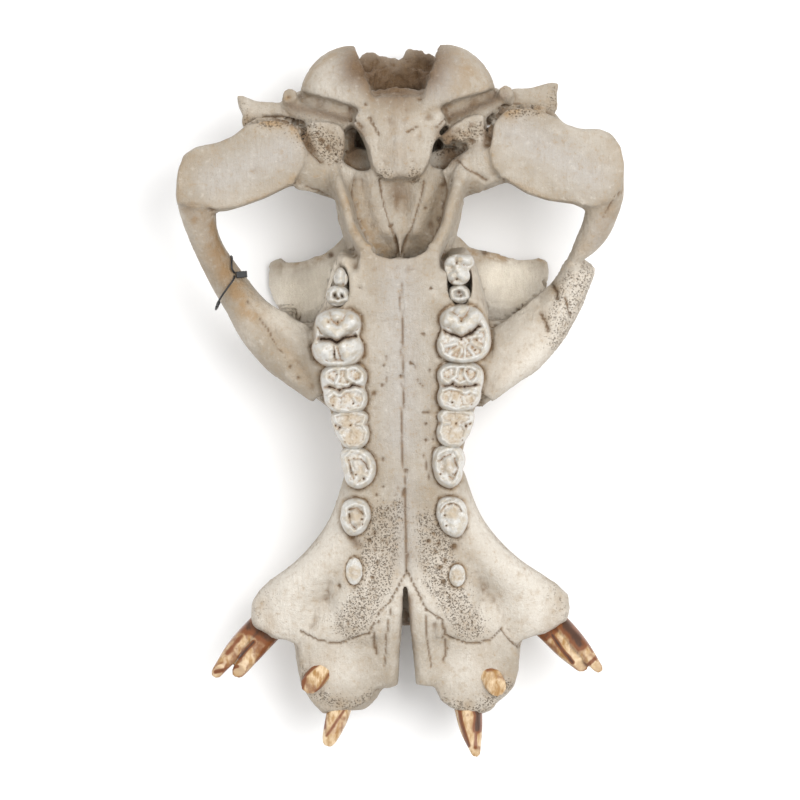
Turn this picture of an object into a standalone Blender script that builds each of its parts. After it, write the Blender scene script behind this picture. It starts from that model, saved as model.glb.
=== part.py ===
"""A young hippopotamus cranium lying palate up, with its teeth in their sockets and a tag wire.

Frame: metres, +Z up, the floor at z = 0. The snout points along -Y and the occiput along +Y, so the
animal's right side is +X. The skull rests on the rims of its eye sockets and on the front of its
snout, so the palate climbs a little towards the back.
"""

import math

import bmesh
import bpy
from mathutils import Euler, Matrix, Vector

MM = 0.001

# How finely the bones are fused, and how many triangles are kept of them.
VOXEL = 3.0 * MM
SOFTEN_STEPS = 5
KEPT_SHARE = 0.026
TUBE_SIDES = 24
BALL_SEGMENTS = 28
TOOTH_SIDES = 10

# The palate is a plane that climbs towards the back: its height at the middle, and its slope.
PALATE_HEIGHT = 147
PALATE_SLOPE = 0.17

SOCKET_GAP = 0.4
ROOT_DEPTH = 14

LEFT, RIGHT = -1, 1
SIDES = {"left": LEFT, "right": RIGHT}

# The two sides of this skull differ a little: a form's distance from the midline is multiplied by these.
ORBIT_SPREAD = {LEFT: 0.94, RIGHT: 1.07}
SNOUT_SPREAD = {LEFT: 0.98, RIGHT: 1.03}

# The bones before the hollows are cut.
# Every station is x, y, z, half width, half height, in millimetres.

MUZZLE = [
    (0, -196, 66, 58, 46),
    (0, -160, 72, 66, 50),
    (0, -125, 77, 62, 50),
    (0, -100, 82, 55, 49),
    (0, -75, 86, 50, 48.5),
    (0, -50, 89, 49, 49.5),
    (0, -20, 91, 57, 53),
    (0, 10, 91, 68, 57),
    (0, 45, 92, 75, 63),
    (0, 72, 92, 72, 67),
    (0, 90, 94, 62, 69),
    (0, 112, 96, 57, 71),
    (0, 122, 98, 50, 70),
]
MUZZLE_POWERS = (6, 2.6)

SNOUT_BARS = {
    "canine_boss": [
        (34, -60, 96, 16, 34),
        (40, -95, 92, 22, 37),
        (50, -118, 88, 27, 39),
        (64, -138, 84, 33, 39),
        (84, -156, 79, 38, 37),
        (94, -172, 75, 38, 34),
        (98, -188, 73, 34, 31),
        (98, -202, 72, 27, 26),
    ],
    "dorsal_boss": [
        (50, -120, 50, 26, 28),
        (62, -160, 35, 30, 32),
        (68, -195, 30, 28, 32),
        (64, -222, 34, 22, 28),
    ],
    "premaxilla": [
        (50, -160, 82, 34, 28),
        (53, -195, 76, 42, 32),
        (55, -225, 71, 40, 30),
        (55, -248, 68, 33, 27),
        (54, -258, 67, 24, 24),
        (53, -264, 66, 16, 18),
    ],
    "palatine_process": [
        (10, -140, 108, 7, 14),
        (11, -190, 100, 7.5, 14),
        (15, -242, 91, 8, 12),
    ],
}

ORBIT_BARS = {
    "orbit_roof": [
        (30, 96, 34, 42, 16),
        (52, 94, 25, 38, 12),
        (72, 95, 18, 34, 9),
        (90, 98, 12, 29, 7),
        (103, 104, 9, 22, 7),
        (112, 112, 9, 13, 6),
        (117, 117, 10, 6, 5),
    ],
    "orbit_rim": [
        (116, 120, 10, 6, 6),
        (110, 108, 7, 7, 8),
        (106, 92, 7, 8, 9),
        (103, 78, 12, 9, 11),
        (106, 68, 34, 10, 13),
        (112, 64, 60, 13, 14),
        (116, 62, 88, 14, 14),
    ],
    "cheek": [
        (50, 30, 76, 40, 44),
        (78, 40, 70, 30, 40),
        (98, 52, 66, 18, 34),
    ],
    "tuberosity": [
        (54, 70, 118, 17, 44),
        (52, 95, 124, 13, 40),
        (48, 114, 128, 11, 34),
        (44, 124, 130, 9, 28),
    ],
}

BRAIN_BARS = {
    "squamosal_root": [
        (96, 210, 138, 26, 16),
        (76, 200, 130, 22, 20),
        (50, 192, 112, 22, 28),
    ],
    "pterygoid": [
        (26, 116, 142, 7, 26),
        (33, 131, 141, 6.5, 28),
        (40, 145, 138, 6.5, 31),
        (45, 163, 133, 7, 30),
        (51, 180, 127, 8, 26),
        (60, 196, 122, 14, 20),
    ],
    "mastoid_wing": [
        (55, 250, 92, 14, 22),
        (100, 245, 94, 12, 18),
        (128, 243, 96, 13, 17),
        (138, 246, 96, 13, 15),
    ],
    "knob": [
        (90, 248, 98, 9, 9),
        (91, 255, 112, 7.5, 7.5),
        (91, 259, 122, 6.5, 6.5),
    ],
    "paroccipital_bar": [
        (92, 250, 102, 8, 12),
        (68, 238, 117, 10, 12),
        (40, 226, 122, 10, 10),
    ],
    "nuchal_crest": [
        (0, 280, 42, 10, 12),
        (40, 276, 44, 12, 12),
        (88, 260, 58, 11, 14),
        (124, 247, 84, 11, 15),
    ],
    "temporal_line": [
        (98, 112, 14, 9, 7),
        (66, 116, 22, 10, 8),
        (36, 142, 30, 10, 9),
        (12, 190, 36, 9, 10),
    ],
}

GLENOID = [
    (64, 214, 136, 12, 10),
    (74, 212, 143, 24, 12),
    (90, 210, 146, 32, 13),
    (105, 207, 147, 33, 12.5),
    (120, 202, 147, 33, 12),
    (135, 196, 147, 31, 12),
    (150, 192, 147, 29, 12),
    (165, 190, 147, 27, 12),
    (178, 190, 146, 23, 11),
    (187, 189, 144, 14, 8),
]
GLENOID_POWERS = (3.4, 2)

# The left cheekbone is whole. The right one is parted at its suture.
LEFT_ARCH = [
    (62, 16, 112, 22, 24),
    (84, 34, 112, 24, 24),
    (98, 46, 110, 25, 24),
    (114, 60, 106, 22, 24),
    (124, 70, 103, 19, 24),
    (134, 84, 101, 16, 23),
    (147, 104, 103, 14.5, 21),
    (160, 127, 112, 12.5, 19),
    (167, 146, 123, 13, 17),
    (170, 164, 134, 16, 15),
    (172, 182, 142, 15, 11),
]
RIGHT_JUGAL = [
    (62, 14, 112, 22, 24),
    (84, 32, 112, 24, 24),
    (100, 44, 110, 25, 24),
    (116, 58, 106, 23, 24),
    (128, 71, 103, 20, 24),
    (139, 85, 101, 17, 23),
    (147, 99, 103, 14.5, 21),
    (151, 108, 106, 14, 19),
    (152.5, 113, 108, 12, 15),
]
RIGHT_TEMPORAL_PROCESS = [
    (174, 184, 142, 15, 11),
    (173, 170, 137, 16, 14),
    (170, 155, 130, 14, 16),
    (165, 141, 122, 12.5, 17),
    (157, 129, 114, 10, 17),
    (149, 119, 109, 6, 13),
    (144, 112, 107, 5, 8),
]

CENTRE_BARS = {
    "nasals": [
        (0, -196, 24, 22, 8),
        (0, -150, 30, 24, 10),
        (0, -80, 42, 26, 12),
        (0, 0, 40, 30, 14),
        (0, 60, 34, 34, 14),
    ],
    "sagittal_crest": [
        (0, 150, 38, 12, 14),
        (0, 200, 38, 9, 14),
        (0, 274, 42, 9, 14),
    ],
}

# Centre and radii of each ball of bone.
BALLS = {
    "braincase": ((0, 190, 86), (56, 100, 52)),
    "sphenoid": ((0, 160, 98), (47, 72, 27)),
    "frontals": ((0, 96, 56), (60, 50, 34)),
    "occiput": ((0, 254, 82), (98, 20, 50)),
}

# The hollows.

NASAL_PASSAGE = [
    (0, -300, 28, 44, 44),
    (0, -235, 32, 42, 42),
    (0, -190, 52, 36, 26),
    (0, -150, 62, 34, 26),
    (0, -100, 80, 30, 27),
    (0, -50, 86, 29, 27),
    (0, 0, 90, 30, 32),
    (0, 60, 104, 30, 31),
    (0, 108, 127, 26, 22),
    (0, 140, 140, 24, 20),
]
NASAL_PASSAGE_POWERS = (3, 3)
CHOANA_PIT = ((0, 164, 168), (37, 44, 48))
BRAIN_HOLLOW = ((0, 205, 86), (42, 66, 34))
FORAMEN_MAGNUM = [
    (0, 230, 98, 22, 22),
    (0, 250, 106, 25, 30),
    (0, 280, 112, 28, 42),
    (0, 320, 118, 30, 50),
]
LACERATED_HOLE = ((38, 209, 126), (13, 15, 28))
PREMAXILLARY_GAP = [
    (0, -142, 92, 1.5, 40),
    (0, -190, 92, 4, 40),
    (0, -260, 92, 9, 40),
]

# What grows over the hollows.

BASIOCCIPITAL = [
    (0, 183, 136, 14, 9),
    (0, 187, 134, 21, 13),
    (0, 200, 130, 26, 16),
    (0, 216, 128, 29, 18),
    (0, 236, 123, 38, 18),
    (0, 250, 116, 36, 16),
    (0, 257, 112, 26, 12),
]
BASIOCCIPITAL_POWERS = (2.6, 2)
VOMER = [
    (0, 108, 118, 3, 16),
    (0, 135, 117, 3, 16),
    (0, 158, 114, 6, 12),
]
CONDYLE_NECK = [
    (36, 236, 100, 18, 20),
    (48, 252, 102, 22, 24),
    (48, 268, 102, 20, 22),
]
TYMPANIC_BULLA = {LEFT: ((62, 217, 120), (15, 17, 17)), RIGHT: ((56, 224, 122), (19, 14, 15))}

# The condyle is an ellipsoid cut by two upright planes: one leaves its crisp lip, and the other its
# border along the foramen magnum. Each plane is given by an outer and an inner point, x and y.
CONDYLE = ((38, 251.5, 106), (46, 49.5, 42))
CONDYLE_LIP = ((86, 263), (26, 244))
CONDYLE_BORDER = ((36, 300), (17, 240))

# Cheek teeth: distance from the midline, y, size across and along, and height above the bone.
CHEEK_TEETH = {
    "second_molar": (53, 54, 40, 46, 20),
    "first_molar": (49, 10, 37, 37, 15),
    "fourth_premolar": (44, -25, 31, 29.5, 11),
    "third_premolar": (38.4, -57.5, 26, 31.5, 16),
    "second_premolar": (40, -99.5, 23, 32, 15),
    "first_premolar": (44.5, -145, 12, 24, 3),
}
TOOTH_POWERS = (2.8, 2.8)
# A tooth taller than this has two lobes, each set off from its middle by a share of its length.
ONE_LOBE_HEIGHT = 12
LOBE_OFFSET = 0.26
LOBE_HALF_LENGTH = 0.27
# Rows of a column: the share of its width and of its length at the root's end, shoulder and crown.
ROOT_SHARE = 0.8
SHOULDER_DROP = 0.2
SHOULDER_SHARE = (0.92, 0.93)
CROWN_SHARE = (0.5, 0.55)
GERM_LOBES = {
    LEFT: [((52, 101, 148), (8, 10, 14)), ((53.5, 88, 148), (9, 9, 13))],
    RIGHT: [((50, 104, 148), (10.5, 11, 14)), ((50.5, 88.5, 147), (9, 9, 12))],
}
CRYPT = ((52, 97, 158), (13.5, 22, 30))

CANINE_LOBES = [
    [(108, -170, 66, 7, 7), (129, -193, 84, 6.5, 7), (146, -212, 100, 6, 6.5), (157, -225, 110, 4, 4)],
    [(100, -178, 64, 8, 8), (119, -200, 82, 7.5, 8), (130, -214, 96, 7, 7), (136, -222, 102, 4, 4)],
]
FIRST_INCISOR = {
    LEFT: [(53, -238, 70, 9, 9), (57, -254, 76, 8, 8), (63, -274, 86, 6.5, 6.5), (67, -289, 93, 3, 3)],
    RIGHT: [(50, -238, 69, 11, 10), (51, -256, 76, 10.5, 9), (54, -280, 87, 9, 8), (55, -299, 94, 4, 4)],
}
SECOND_INCISOR = {
    LEFT: [(67, -226, 82, 8, 8), (75, -236, 94, 8, 8), (84, -246, 103, 6, 6)],
    RIGHT: [(66, -226, 82, 8.5, 8.5), (72, -237, 94, 8.5, 8.5), (76, -244, 102, 7, 7)],
}

# A wire runs round the left cheekbone and ends in a crimp. Its loop is an ellipse that stands in the
# plane of the direction TAG_WIRE_RUN, over the angles of TAG_WIRE_ARC. Both ends then turn to the crimp.
TAG_WIRE_CENTRE = (-148.5, 102.5, 103)
TAG_WIRE_RUN = (-12, -37, 0)
TAG_WIRE_RADII = (24.5, 25.5)
TAG_WIRE_ARC = (148, 384)
TAG_WIRE_POINTS = 24
TAG_WIRE_THICKNESS = 1.6
TAG_WIRE_FROM_CRIMP = [(-139.9, 109.3, 121), (-142, 114.5, 123)]
TAG_WIRE_TO_CRIMP = [(-151, 90, 124), (-146.5, 96, 127), (-141, 103.5, 126), (-140, 106.7, 122)]
CRIMP_CENTRE = (-134, 108, 120.5)
CRIMP_SIZE = (9, 6, 5)
CRIMP_TURN = 4
CRIMP_ROUNDING = 0.8

FLOOR_SLAB = 1


def clear_scene():
    for obj in list(bpy.data.objects):
        bpy.data.objects.remove(obj)


def new_collection(name):
    collection = bpy.data.collections.new(name)
    bpy.context.scene.collection.children.link(collection)
    return collection


def new_material(name, colour, roughness):
    material = bpy.data.materials.new(name)
    material.use_nodes = True
    shader = material.node_tree.nodes["Principled BSDF"]
    shader.inputs["Base Color"].default_value = (*colour, 1)
    shader.inputs["Roughness"].default_value = roughness
    shader.inputs["Metallic"].default_value = 0
    return material


def bent(value, power):
    """A sine or cosine pushed outwards: power 2 keeps an ellipse, more gives round corners."""
    return math.copysign(abs(value) ** (2 / power), value)


def section(centre, across, up, half_width, half_height, powers, sides):
    """The corners of one section. Its upper and lower halves each have their own power."""
    corners = []
    for i in range(sides + 1):
        angle = 2 * math.pi * i / sides
        c, s = math.cos(angle), math.sin(angle)
        power = powers[0] if s >= 0 else powers[1]
        corners.append(centre + across * (half_width * bent(c, power)) + up * (half_height * bent(s, power)))
    return corners


def add_limb(bm, stations, side=1, powers=(2, 2), along=None, sides=TUBE_SIDES, grow=0):
    """A closed bar over its stations: a grid rolled into a tube, whose end rows close on one point.

    The sections stand square to the bar, or to the direction along. All sizes are in millimetres.
    """
    centres = [Vector((side * x, y, z)) * MM for x, y, z, _, _ in stations]
    rows = []
    for i, (_, _, _, half_width, half_height) in enumerate(stations):
        heading = centres[min(i + 1, len(centres) - 1)] - centres[max(i - 1, 0)]
        heading = Vector(along) if along else heading.normalized()
        level = Vector((0, 0, 1)) if abs(heading.z) < 0.9 else Vector((0, 1, 0))
        across = heading.cross(level).normalized()
        up = across.cross(heading)
        size = (half_width + grow) * MM, (half_height + grow) * MM
        rows.append(section(centres[i], across, up, *size, powers, sides))
    ends = [
        centres[0] + (centres[0] - centres[1]).normalized() * grow * MM,
        centres[-1] + (centres[-1] - centres[-2]).normalized() * grow * MM,
    ]
    rows = [[ends[0]] * (sides + 1), *rows, [ends[1]] * (sides + 1)]
    made = bmesh.ops.create_grid(bm, x_segments=sides, y_segments=len(rows) - 1, size=1)["verts"]
    for vert, place in zip(made, [corner for row in rows for corner in row]):
        vert.co = place
    bmesh.ops.remove_doubles(bm, verts=made, dist=0.01 * MM)


def add_ball(bm, centre, radii, side=1, turn=(0, 0, 0), segments=BALL_SEGMENTS):
    """An ellipsoid: its centre and radii in millimetres, turned by degrees about X, Y and Z."""
    angles = Euler([math.radians(a) for a in turn])
    place = Matrix.Translation(Vector((side * centre[0], centre[1], centre[2])) * MM)
    stretch = Matrix.Diagonal([*[r * MM for r in radii], 1])
    return bmesh.ops.create_uvsphere(
        bm,
        u_segments=segments,
        v_segments=segments // 2,
        radius=1,
        matrix=place @ angles.to_matrix().to_4x4() @ stretch,
    )["verts"]


def finish_mesh(bm, name, collection, material=None):
    bmesh.ops.recalc_face_normals(bm, faces=bm.faces)
    mesh = bpy.data.meshes.new(name)
    bm.to_mesh(mesh)
    bm.free()
    obj = bpy.data.objects.new(name, mesh)
    collection.objects.link(obj)
    if material:
        mesh.materials.append(material)
    return obj


def helper(obj):
    """Marks a cutter or a guide, which is no part of the skull."""
    obj.hide_render = True
    obj.display_type = "WIRE"
    return obj


def fuse(obj):
    modifier = obj.modifiers.new("Fuse", "REMESH")
    modifier.mode = "VOXEL"
    modifier.voxel_size = VOXEL
    modifier.adaptivity = 0


def boolean(obj, other, operation):
    modifier = obj.modifiers.new(operation.title(), "BOOLEAN")
    modifier.object = other
    modifier.operation = operation
    modifier.solver = "EXACT"


def bare_bones(collection, material):
    bm = bmesh.new()
    add_limb(bm, MUZZLE, powers=MUZZLE_POWERS)
    for stations in CENTRE_BARS.values():
        add_limb(bm, stations)
    for centre, radii in BALLS.values():
        add_ball(bm, centre, radii)
    for side in SIDES.values():
        for stations in SNOUT_BARS.values():
            add_limb(bm, stations, side * SNOUT_SPREAD[side], along=(0, -1, 0))
        for stations in ORBIT_BARS.values():
            add_limb(bm, stations, side * ORBIT_SPREAD[side])
        for stations in BRAIN_BARS.values():
            add_limb(bm, stations, side)
        add_limb(bm, GLENOID, side, GLENOID_POWERS)
    add_limb(bm, LEFT_ARCH, LEFT)
    add_limb(bm, RIGHT_JUGAL, RIGHT)
    add_limb(bm, RIGHT_TEMPORAL_PROCESS, RIGHT)
    return finish_mesh(bm, "cranium", collection, material)


def hollows(collection):
    """Yields each cutter that opens the fused bones."""
    bars = {
        "nasal_passage": (NASAL_PASSAGE, NASAL_PASSAGE_POWERS),
        "foramen_magnum": (FORAMEN_MAGNUM, (2, 2)),
        "premaxillary_gap": (PREMAXILLARY_GAP, (2, 2)),
    }
    for name, (stations, powers) in bars.items():
        bm = bmesh.new()
        add_limb(bm, stations, powers=powers, along=(0, 1, 0))
        yield finish_mesh(bm, name + "_cutter", collection)
    balls = {"choana": (*CHOANA_PIT, 1), "brain": (*BRAIN_HOLLOW, 1)}
    for word, side in SIDES.items():
        balls[word + "_lacerated_hole"] = (*LACERATED_HOLE, side)
    for name, (centre, radii, side) in balls.items():
        bm = bmesh.new()
        add_ball(bm, centre, radii, side)
        yield finish_mesh(bm, name + "_cutter", collection)


def add_condyle(bm, side):
    """An ellipsoid cut by two upright planes."""
    own = bmesh.new()
    add_ball(own, *CONDYLE, side)
    for ends, cleared in ((CONDYLE_LIP, Vector((0, -1, 0))), (CONDYLE_BORDER, Vector((-side, 0, 0)))):
        outer, inner = [Vector((side * x, y, 0)) * MM for x, y in ends]
        away = (outer - inner).cross(Vector((0, 0, 1)))
        away *= math.copysign(1, away.dot(cleared))
        whole = [*own.verts, *own.edges, *own.faces]
        cut = bmesh.ops.bisect_plane(own, geom=whole, plane_co=inner, plane_no=away, clear_outer=True)
        rim = [piece for piece in cut["geom_cut"] if isinstance(piece, bmesh.types.BMEdge)]
        bmesh.ops.edgeloop_fill(own, edges=rim)
    mesh = bpy.data.meshes.new("condyle")
    own.to_mesh(mesh)
    own.free()
    bm.from_mesh(mesh)
    bpy.data.meshes.remove(mesh)


def late_bones(collection):
    bm = bmesh.new()
    add_limb(bm, BASIOCCIPITAL, powers=BASIOCCIPITAL_POWERS)
    add_limb(bm, VOMER)
    for side in SIDES.values():
        add_limb(bm, CONDYLE_NECK, side)
        add_condyle(bm, side)
        add_ball(bm, *TYMPANIC_BULLA[side], side)
    return finish_mesh(bm, "late_bones", collection)


def palate_at(y):
    return PALATE_HEIGHT + PALATE_SLOPE * y


def tooth_columns(x, y, across, along, height):
    """A cheek tooth has two lobes, one before the other: each is a column from root to cusp."""
    foot = palate_at(y) - ROOT_DEPTH
    neck = palate_at(y) + 1
    top = palate_at(y) + height
    two_lobes = height > ONE_LOBE_HEIGHT
    half_across = across / 2
    half_along = along * (LOBE_HALF_LENGTH if two_lobes else 0.5)
    for offset in (-LOBE_OFFSET, LOBE_OFFSET) if two_lobes else (0,):
        rows = [
            (foot, ROOT_SHARE, ROOT_SHARE),
            (neck, 1, 1),
            (top - SHOULDER_DROP * height, *SHOULDER_SHARE),
            (top, *CROWN_SHARE),
        ]
        centre = y + offset * along
        yield [(x, centre, z, half_across * wide, half_along * long) for z, wide, long in rows]


def toothlike(name, bars, side, collection, material=None, grow=0):
    """One tooth of one or two bars that are joined, or its socket where it grows by the gap."""
    pieces = []
    for stations in bars:
        bm = bmesh.new()
        add_limb(bm, stations, side, TOOTH_POWERS, sides=TOOTH_SIDES, grow=grow)
        pieces.append(finish_mesh(bm, name, collection, material))
    body = pieces[0]
    for other in pieces[1:]:
        boolean(body, helper(other), "UNION")
    return body


def germ(name, lobes, side, collection, material=None, grow=0):
    pieces = []
    for centre, radii in lobes:
        bm = bmesh.new()
        add_ball(bm, centre, [r + grow for r in radii], side, segments=TOOTH_SIDES)
        pieces.append(finish_mesh(bm, name, collection, material))
    boolean(pieces[0], helper(pieces[1]), "UNION")
    return pieces[0]


def tooth_shapes(side):
    """Yields the name, the bars and the kind of material of every tooth of a side."""
    for name, sizes in CHEEK_TEETH.items():
        yield name, list(tooth_columns(*sizes)), "enamel"
    yield "canine", CANINE_LOBES, "ivory"
    yield "first_incisor", [FIRST_INCISOR[side]], "ivory"
    yield "second_incisor", [SECOND_INCISOR[side]], "ivory"


def build_cranium(skull, cutters, bone):
    cranium = bare_bones(skull, bone)
    fuse(cranium)
    for cutter in hollows(cutters):
        boolean(cranium, helper(cutter), "DIFFERENCE")
    late = helper(late_bones(cutters))
    fuse(late)
    boolean(cranium, late, "UNION")
    for word, side in SIDES.items():
        bm = bmesh.new()
        add_ball(bm, *CRYPT, side)
        boolean(cranium, helper(finish_mesh(bm, word + "_crypt_cutter", cutters)), "DIFFERENCE")
    fuse(cranium)
    soften = cranium.modifiers.new("Soften", "SMOOTH")
    soften.factor = 0.5
    soften.iterations = SOFTEN_STEPS
    thin = cranium.modifiers.new("Thin", "DECIMATE")
    thin.ratio = KEPT_SHARE
    return cranium


def build_teeth(cranium, skull, cutters, materials):
    for word, side in SIDES.items():
        for name, bars, kind in tooth_shapes(side):
            full_name = f"{word}_{name}"
            toothlike(full_name, bars, side, skull, materials[kind])
            socket = toothlike(full_name + "_socket", bars, side, cutters, grow=SOCKET_GAP)
            boolean(cranium, helper(socket), "DIFFERENCE")
        germ(f"{word}_third_molar", GERM_LOBES[side], side, skull, materials["enamel"])
        socket = germ(f"{word}_third_molar_socket", GERM_LOBES[side], side, cutters, grow=SOCKET_GAP)
        boolean(cranium, helper(socket), "DIFFERENCE")


def tag_wire(skull, material):
    """The loop's points run from the inner edge of the bone, below it and up to the outer edge."""
    centre, run = Vector(TAG_WIRE_CENTRE), Vector(TAG_WIRE_RUN).normalized()
    first_angle, last_angle = [math.radians(angle) for angle in TAG_WIRE_ARC]
    points = list(TAG_WIRE_FROM_CRIMP)
    for i in range(TAG_WIRE_POINTS):
        angle = first_angle + (last_angle - first_angle) * i / (TAG_WIRE_POINTS - 1)
        reach, rise = TAG_WIRE_RADII[0] * math.cos(angle), TAG_WIRE_RADII[1] * math.sin(angle)
        points.append(centre + run * reach + Vector((0, 0, rise)))
    points += TAG_WIRE_TO_CRIMP
    curve = bpy.data.curves.new("tag_wire", "CURVE")
    curve.dimensions = "3D"
    curve.bevel_depth = TAG_WIRE_THICKNESS / 2 * MM
    curve.bevel_resolution = 1
    curve.use_fill_caps = True
    spline = curve.splines.new("POLY")
    spline.points.add(len(points) - 1)
    for point, place in zip(spline.points, points):
        point.co = (*(Vector(place) * MM), 1)
    curve.materials.append(material)
    skull.objects.link(bpy.data.objects.new("tag_wire", curve))


def crimp(name, collection, material=None, grow=0):
    bm = bmesh.new()
    size = [(s + 2 * grow) * MM for s in CRIMP_SIZE]
    turn = Matrix.Rotation(math.radians(CRIMP_TURN), 4, "Z")
    place = Matrix.Translation(Vector(CRIMP_CENTRE) * MM) @ turn @ Matrix.Diagonal((*size, 1))
    bmesh.ops.create_cube(bm, size=1, matrix=place)
    obj = finish_mesh(bm, name, collection, material)
    if not grow:
        bevel = obj.modifiers.new("Round", "BEVEL")
        bevel.width = CRIMP_ROUNDING * MM
        bevel.segments = 2
    return obj


def cut_floor(cranium, cutters):
    """Flattens what rests on the floor."""
    bm = bmesh.new()
    bmesh.ops.create_cube(bm, size=FLOOR_SLAB, matrix=Matrix.Translation((0, 0, -FLOOR_SLAB / 2)))
    boolean(cranium, helper(finish_mesh(bm, "floor_cutter", cutters)), "DIFFERENCE")


clear_scene()
skull_collection = new_collection("hippo_skull")
cutter_collection = new_collection("cutters")
MATERIALS = {
    "bone": new_material("bone", (0.76, 0.7, 0.6), 0.7),
    "enamel": new_material("enamel", (0.82, 0.79, 0.73), 0.4),
    "ivory": new_material("ivory", (0.62, 0.42, 0.22), 0.35),
    "wire": new_material("wire", (0.03, 0.03, 0.03), 0.5),
}
cranium_object = build_cranium(skull_collection, cutter_collection, MATERIALS["bone"])
build_teeth(cranium_object, skull_collection, cutter_collection, MATERIALS)
tag_wire(skull_collection, MATERIALS["wire"])
crimp("tag_crimp", skull_collection, MATERIALS["wire"])
boolean(cranium_object, helper(crimp("crimp_seat_cutter", cutter_collection, grow=SOCKET_GAP)), "DIFFERENCE")
cut_floor(cranium_object, cutter_collection)
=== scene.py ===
# %% [markdown]
# # A young hippopotamus skull
# The skull lies with its palate up. It has no moving parts, so the packed model is one body with
# many nodes: the bone, the teeth and a small wire with a crimp. This lesson gives each of them its
# looks. All lengths in the tables are millimetres, because a maker measures a skull in them, and
# one factor turns them to metres.

# %% Load the packed model and keep its box
import contextlib
import math

import bpy
import numpy as np
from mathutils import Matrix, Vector, noise


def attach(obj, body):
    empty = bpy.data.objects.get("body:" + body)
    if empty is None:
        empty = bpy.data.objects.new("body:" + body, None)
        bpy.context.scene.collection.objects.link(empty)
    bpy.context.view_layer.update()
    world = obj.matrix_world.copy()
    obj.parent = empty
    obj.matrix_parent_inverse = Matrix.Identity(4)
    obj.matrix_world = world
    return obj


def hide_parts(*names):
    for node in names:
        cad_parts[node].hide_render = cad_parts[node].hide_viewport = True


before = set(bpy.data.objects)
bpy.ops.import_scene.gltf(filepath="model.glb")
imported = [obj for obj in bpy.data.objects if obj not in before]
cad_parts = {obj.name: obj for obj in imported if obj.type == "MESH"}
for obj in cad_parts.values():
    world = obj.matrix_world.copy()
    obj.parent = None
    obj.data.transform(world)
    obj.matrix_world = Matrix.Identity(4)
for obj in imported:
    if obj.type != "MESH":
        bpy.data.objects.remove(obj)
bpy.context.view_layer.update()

MM = 0.001
# corners nearer to each other than this many millimetres are one
DOUBLED = 0.01
TINY = 1e-9
FAR = 1e9
LEFT, RIGHT = -1, 1
SIDES = {"left": LEFT, "right": RIGHT}

# %% [markdown]
# ## From the picture to the skull
# The picture looks straight down on the palate, so a place in it is a place on the plan of the skull.
# The skull lies a trace askew in the frame. One function turns pixels into millimetres on the plan,
# and the camera uses the same three numbers, so both agree.

# %% Plan of the skull
MM_PER_PIXEL = 0.84
MIDLINE = 402.5
SKEW = 0.0155
MIDDLE = 400


def plan(pixels):
    """Places in the picture as x and y in millimetres."""
    x, y = np.array(pixels, float).reshape(-1, 2).T
    return np.column_stack([x - MIDLINE - (y - MIDDLE) * SKEW, MIDDLE - y]) * MM_PER_PIXEL


print("the tip of the left tusk lies at", plan([(214, 670)]).round(1).tolist())

# %% [markdown]
# ## Camera
# A long lens from high above flattens the skull as the picture does. The lens is worked out so that
# a pixel covers the right length at the height of the palate.

# %% Camera
CAMERA_HEIGHT = 4.2
PALATE_LEVEL = 0.14
FRAME_PIXELS = 800
SENSOR = 36

camera = bpy.data.cameras.new("camera")
camera.sensor_width = SENSOR
camera.lens = SENSOR * (CAMERA_HEIGHT - PALATE_LEVEL) / (FRAME_PIXELS * MM_PER_PIXEL * MM)
viewer = bpy.data.objects.new("camera", camera)
viewer.location = ((MIDDLE - MIDLINE) * MM_PER_PIXEL * MM, 0, CAMERA_HEIGHT)
viewer.rotation_euler = (0, 0, -math.atan(SKEW))
bpy.context.scene.collection.objects.link(viewer)
bpy.context.scene.camera = viewer
print("lens", round(camera.lens, 1), "mm")

# %% [markdown]
# ## Floor and light
# The picture has a white floor that fades to grey only in the soft shadow on the skull's left. So the
# floor is a plain white disc, a wide lamp stands high on the right, a weaker one on the left, and the
# world fills the shadows. The Standard view keeps white as white.

# %% Floor and light
FLOOR_RADIUS = 6
FLOOR_SIDES = 96
FLOOR_LOOK = {"Base Color": (0.97, 0.97, 0.97, 1), "Roughness": 0.9, "Specular IOR Level": 0.1}
LAMP_TARGET = (0, 0, 0.1)
# each lamp's place and diameter in metres, and its power in watts
LAMPS = {"key": ((0.86, 0.30, 2.5), 1.4, 44), "fill": ((-0.9, 0.5, 2.4), 1.6, 12)}
WORLD_STRENGTH = 0.83

bpy.ops.mesh.primitive_circle_add(vertices=FLOOR_SIDES, radius=FLOOR_RADIUS, fill_type="NGON")
floor = bpy.context.object
floor.name = "floor"
floor_material = bpy.data.materials.new("floor")
floor_material.use_nodes = True
floor_shader = floor_material.node_tree.nodes["Principled BSDF"]
for name, value in FLOOR_LOOK.items():
    floor_shader.inputs[name].default_value = value
floor.data.materials.append(floor_material)


def lamp(name, place, size, watts):
    """A round lamp that shines on the skull."""
    light = bpy.data.lights.new(name, "AREA")
    light.shape = "DISK"
    light.size = size
    light.energy = watts
    obj = bpy.data.objects.new(name, light)
    obj.location = place
    obj.rotation_euler = (Vector(LAMP_TARGET) - Vector(place)).to_track_quat("-Z", "Y").to_euler()
    bpy.context.scene.collection.objects.link(obj)


for name, settings in LAMPS.items():
    lamp(name, *settings)
world = bpy.data.worlds.new("studio")
world.use_nodes = True
world.node_tree.nodes["Background"].inputs["Color"].default_value = (1, 1, 1, 1)
world.node_tree.nodes["Background"].inputs["Strength"].default_value = WORLD_STRENGTH
bpy.context.scene.world = world
bpy.context.scene.view_settings.view_transform = "Standard"

# %% [markdown]
# ## Sockets that do arithmetic
# A material is a graph of nodes. Long sums of Math nodes are hard to read, so a small class wraps a
# socket and lets Python's own signs add the nodes. Every other node comes from one method.

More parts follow.
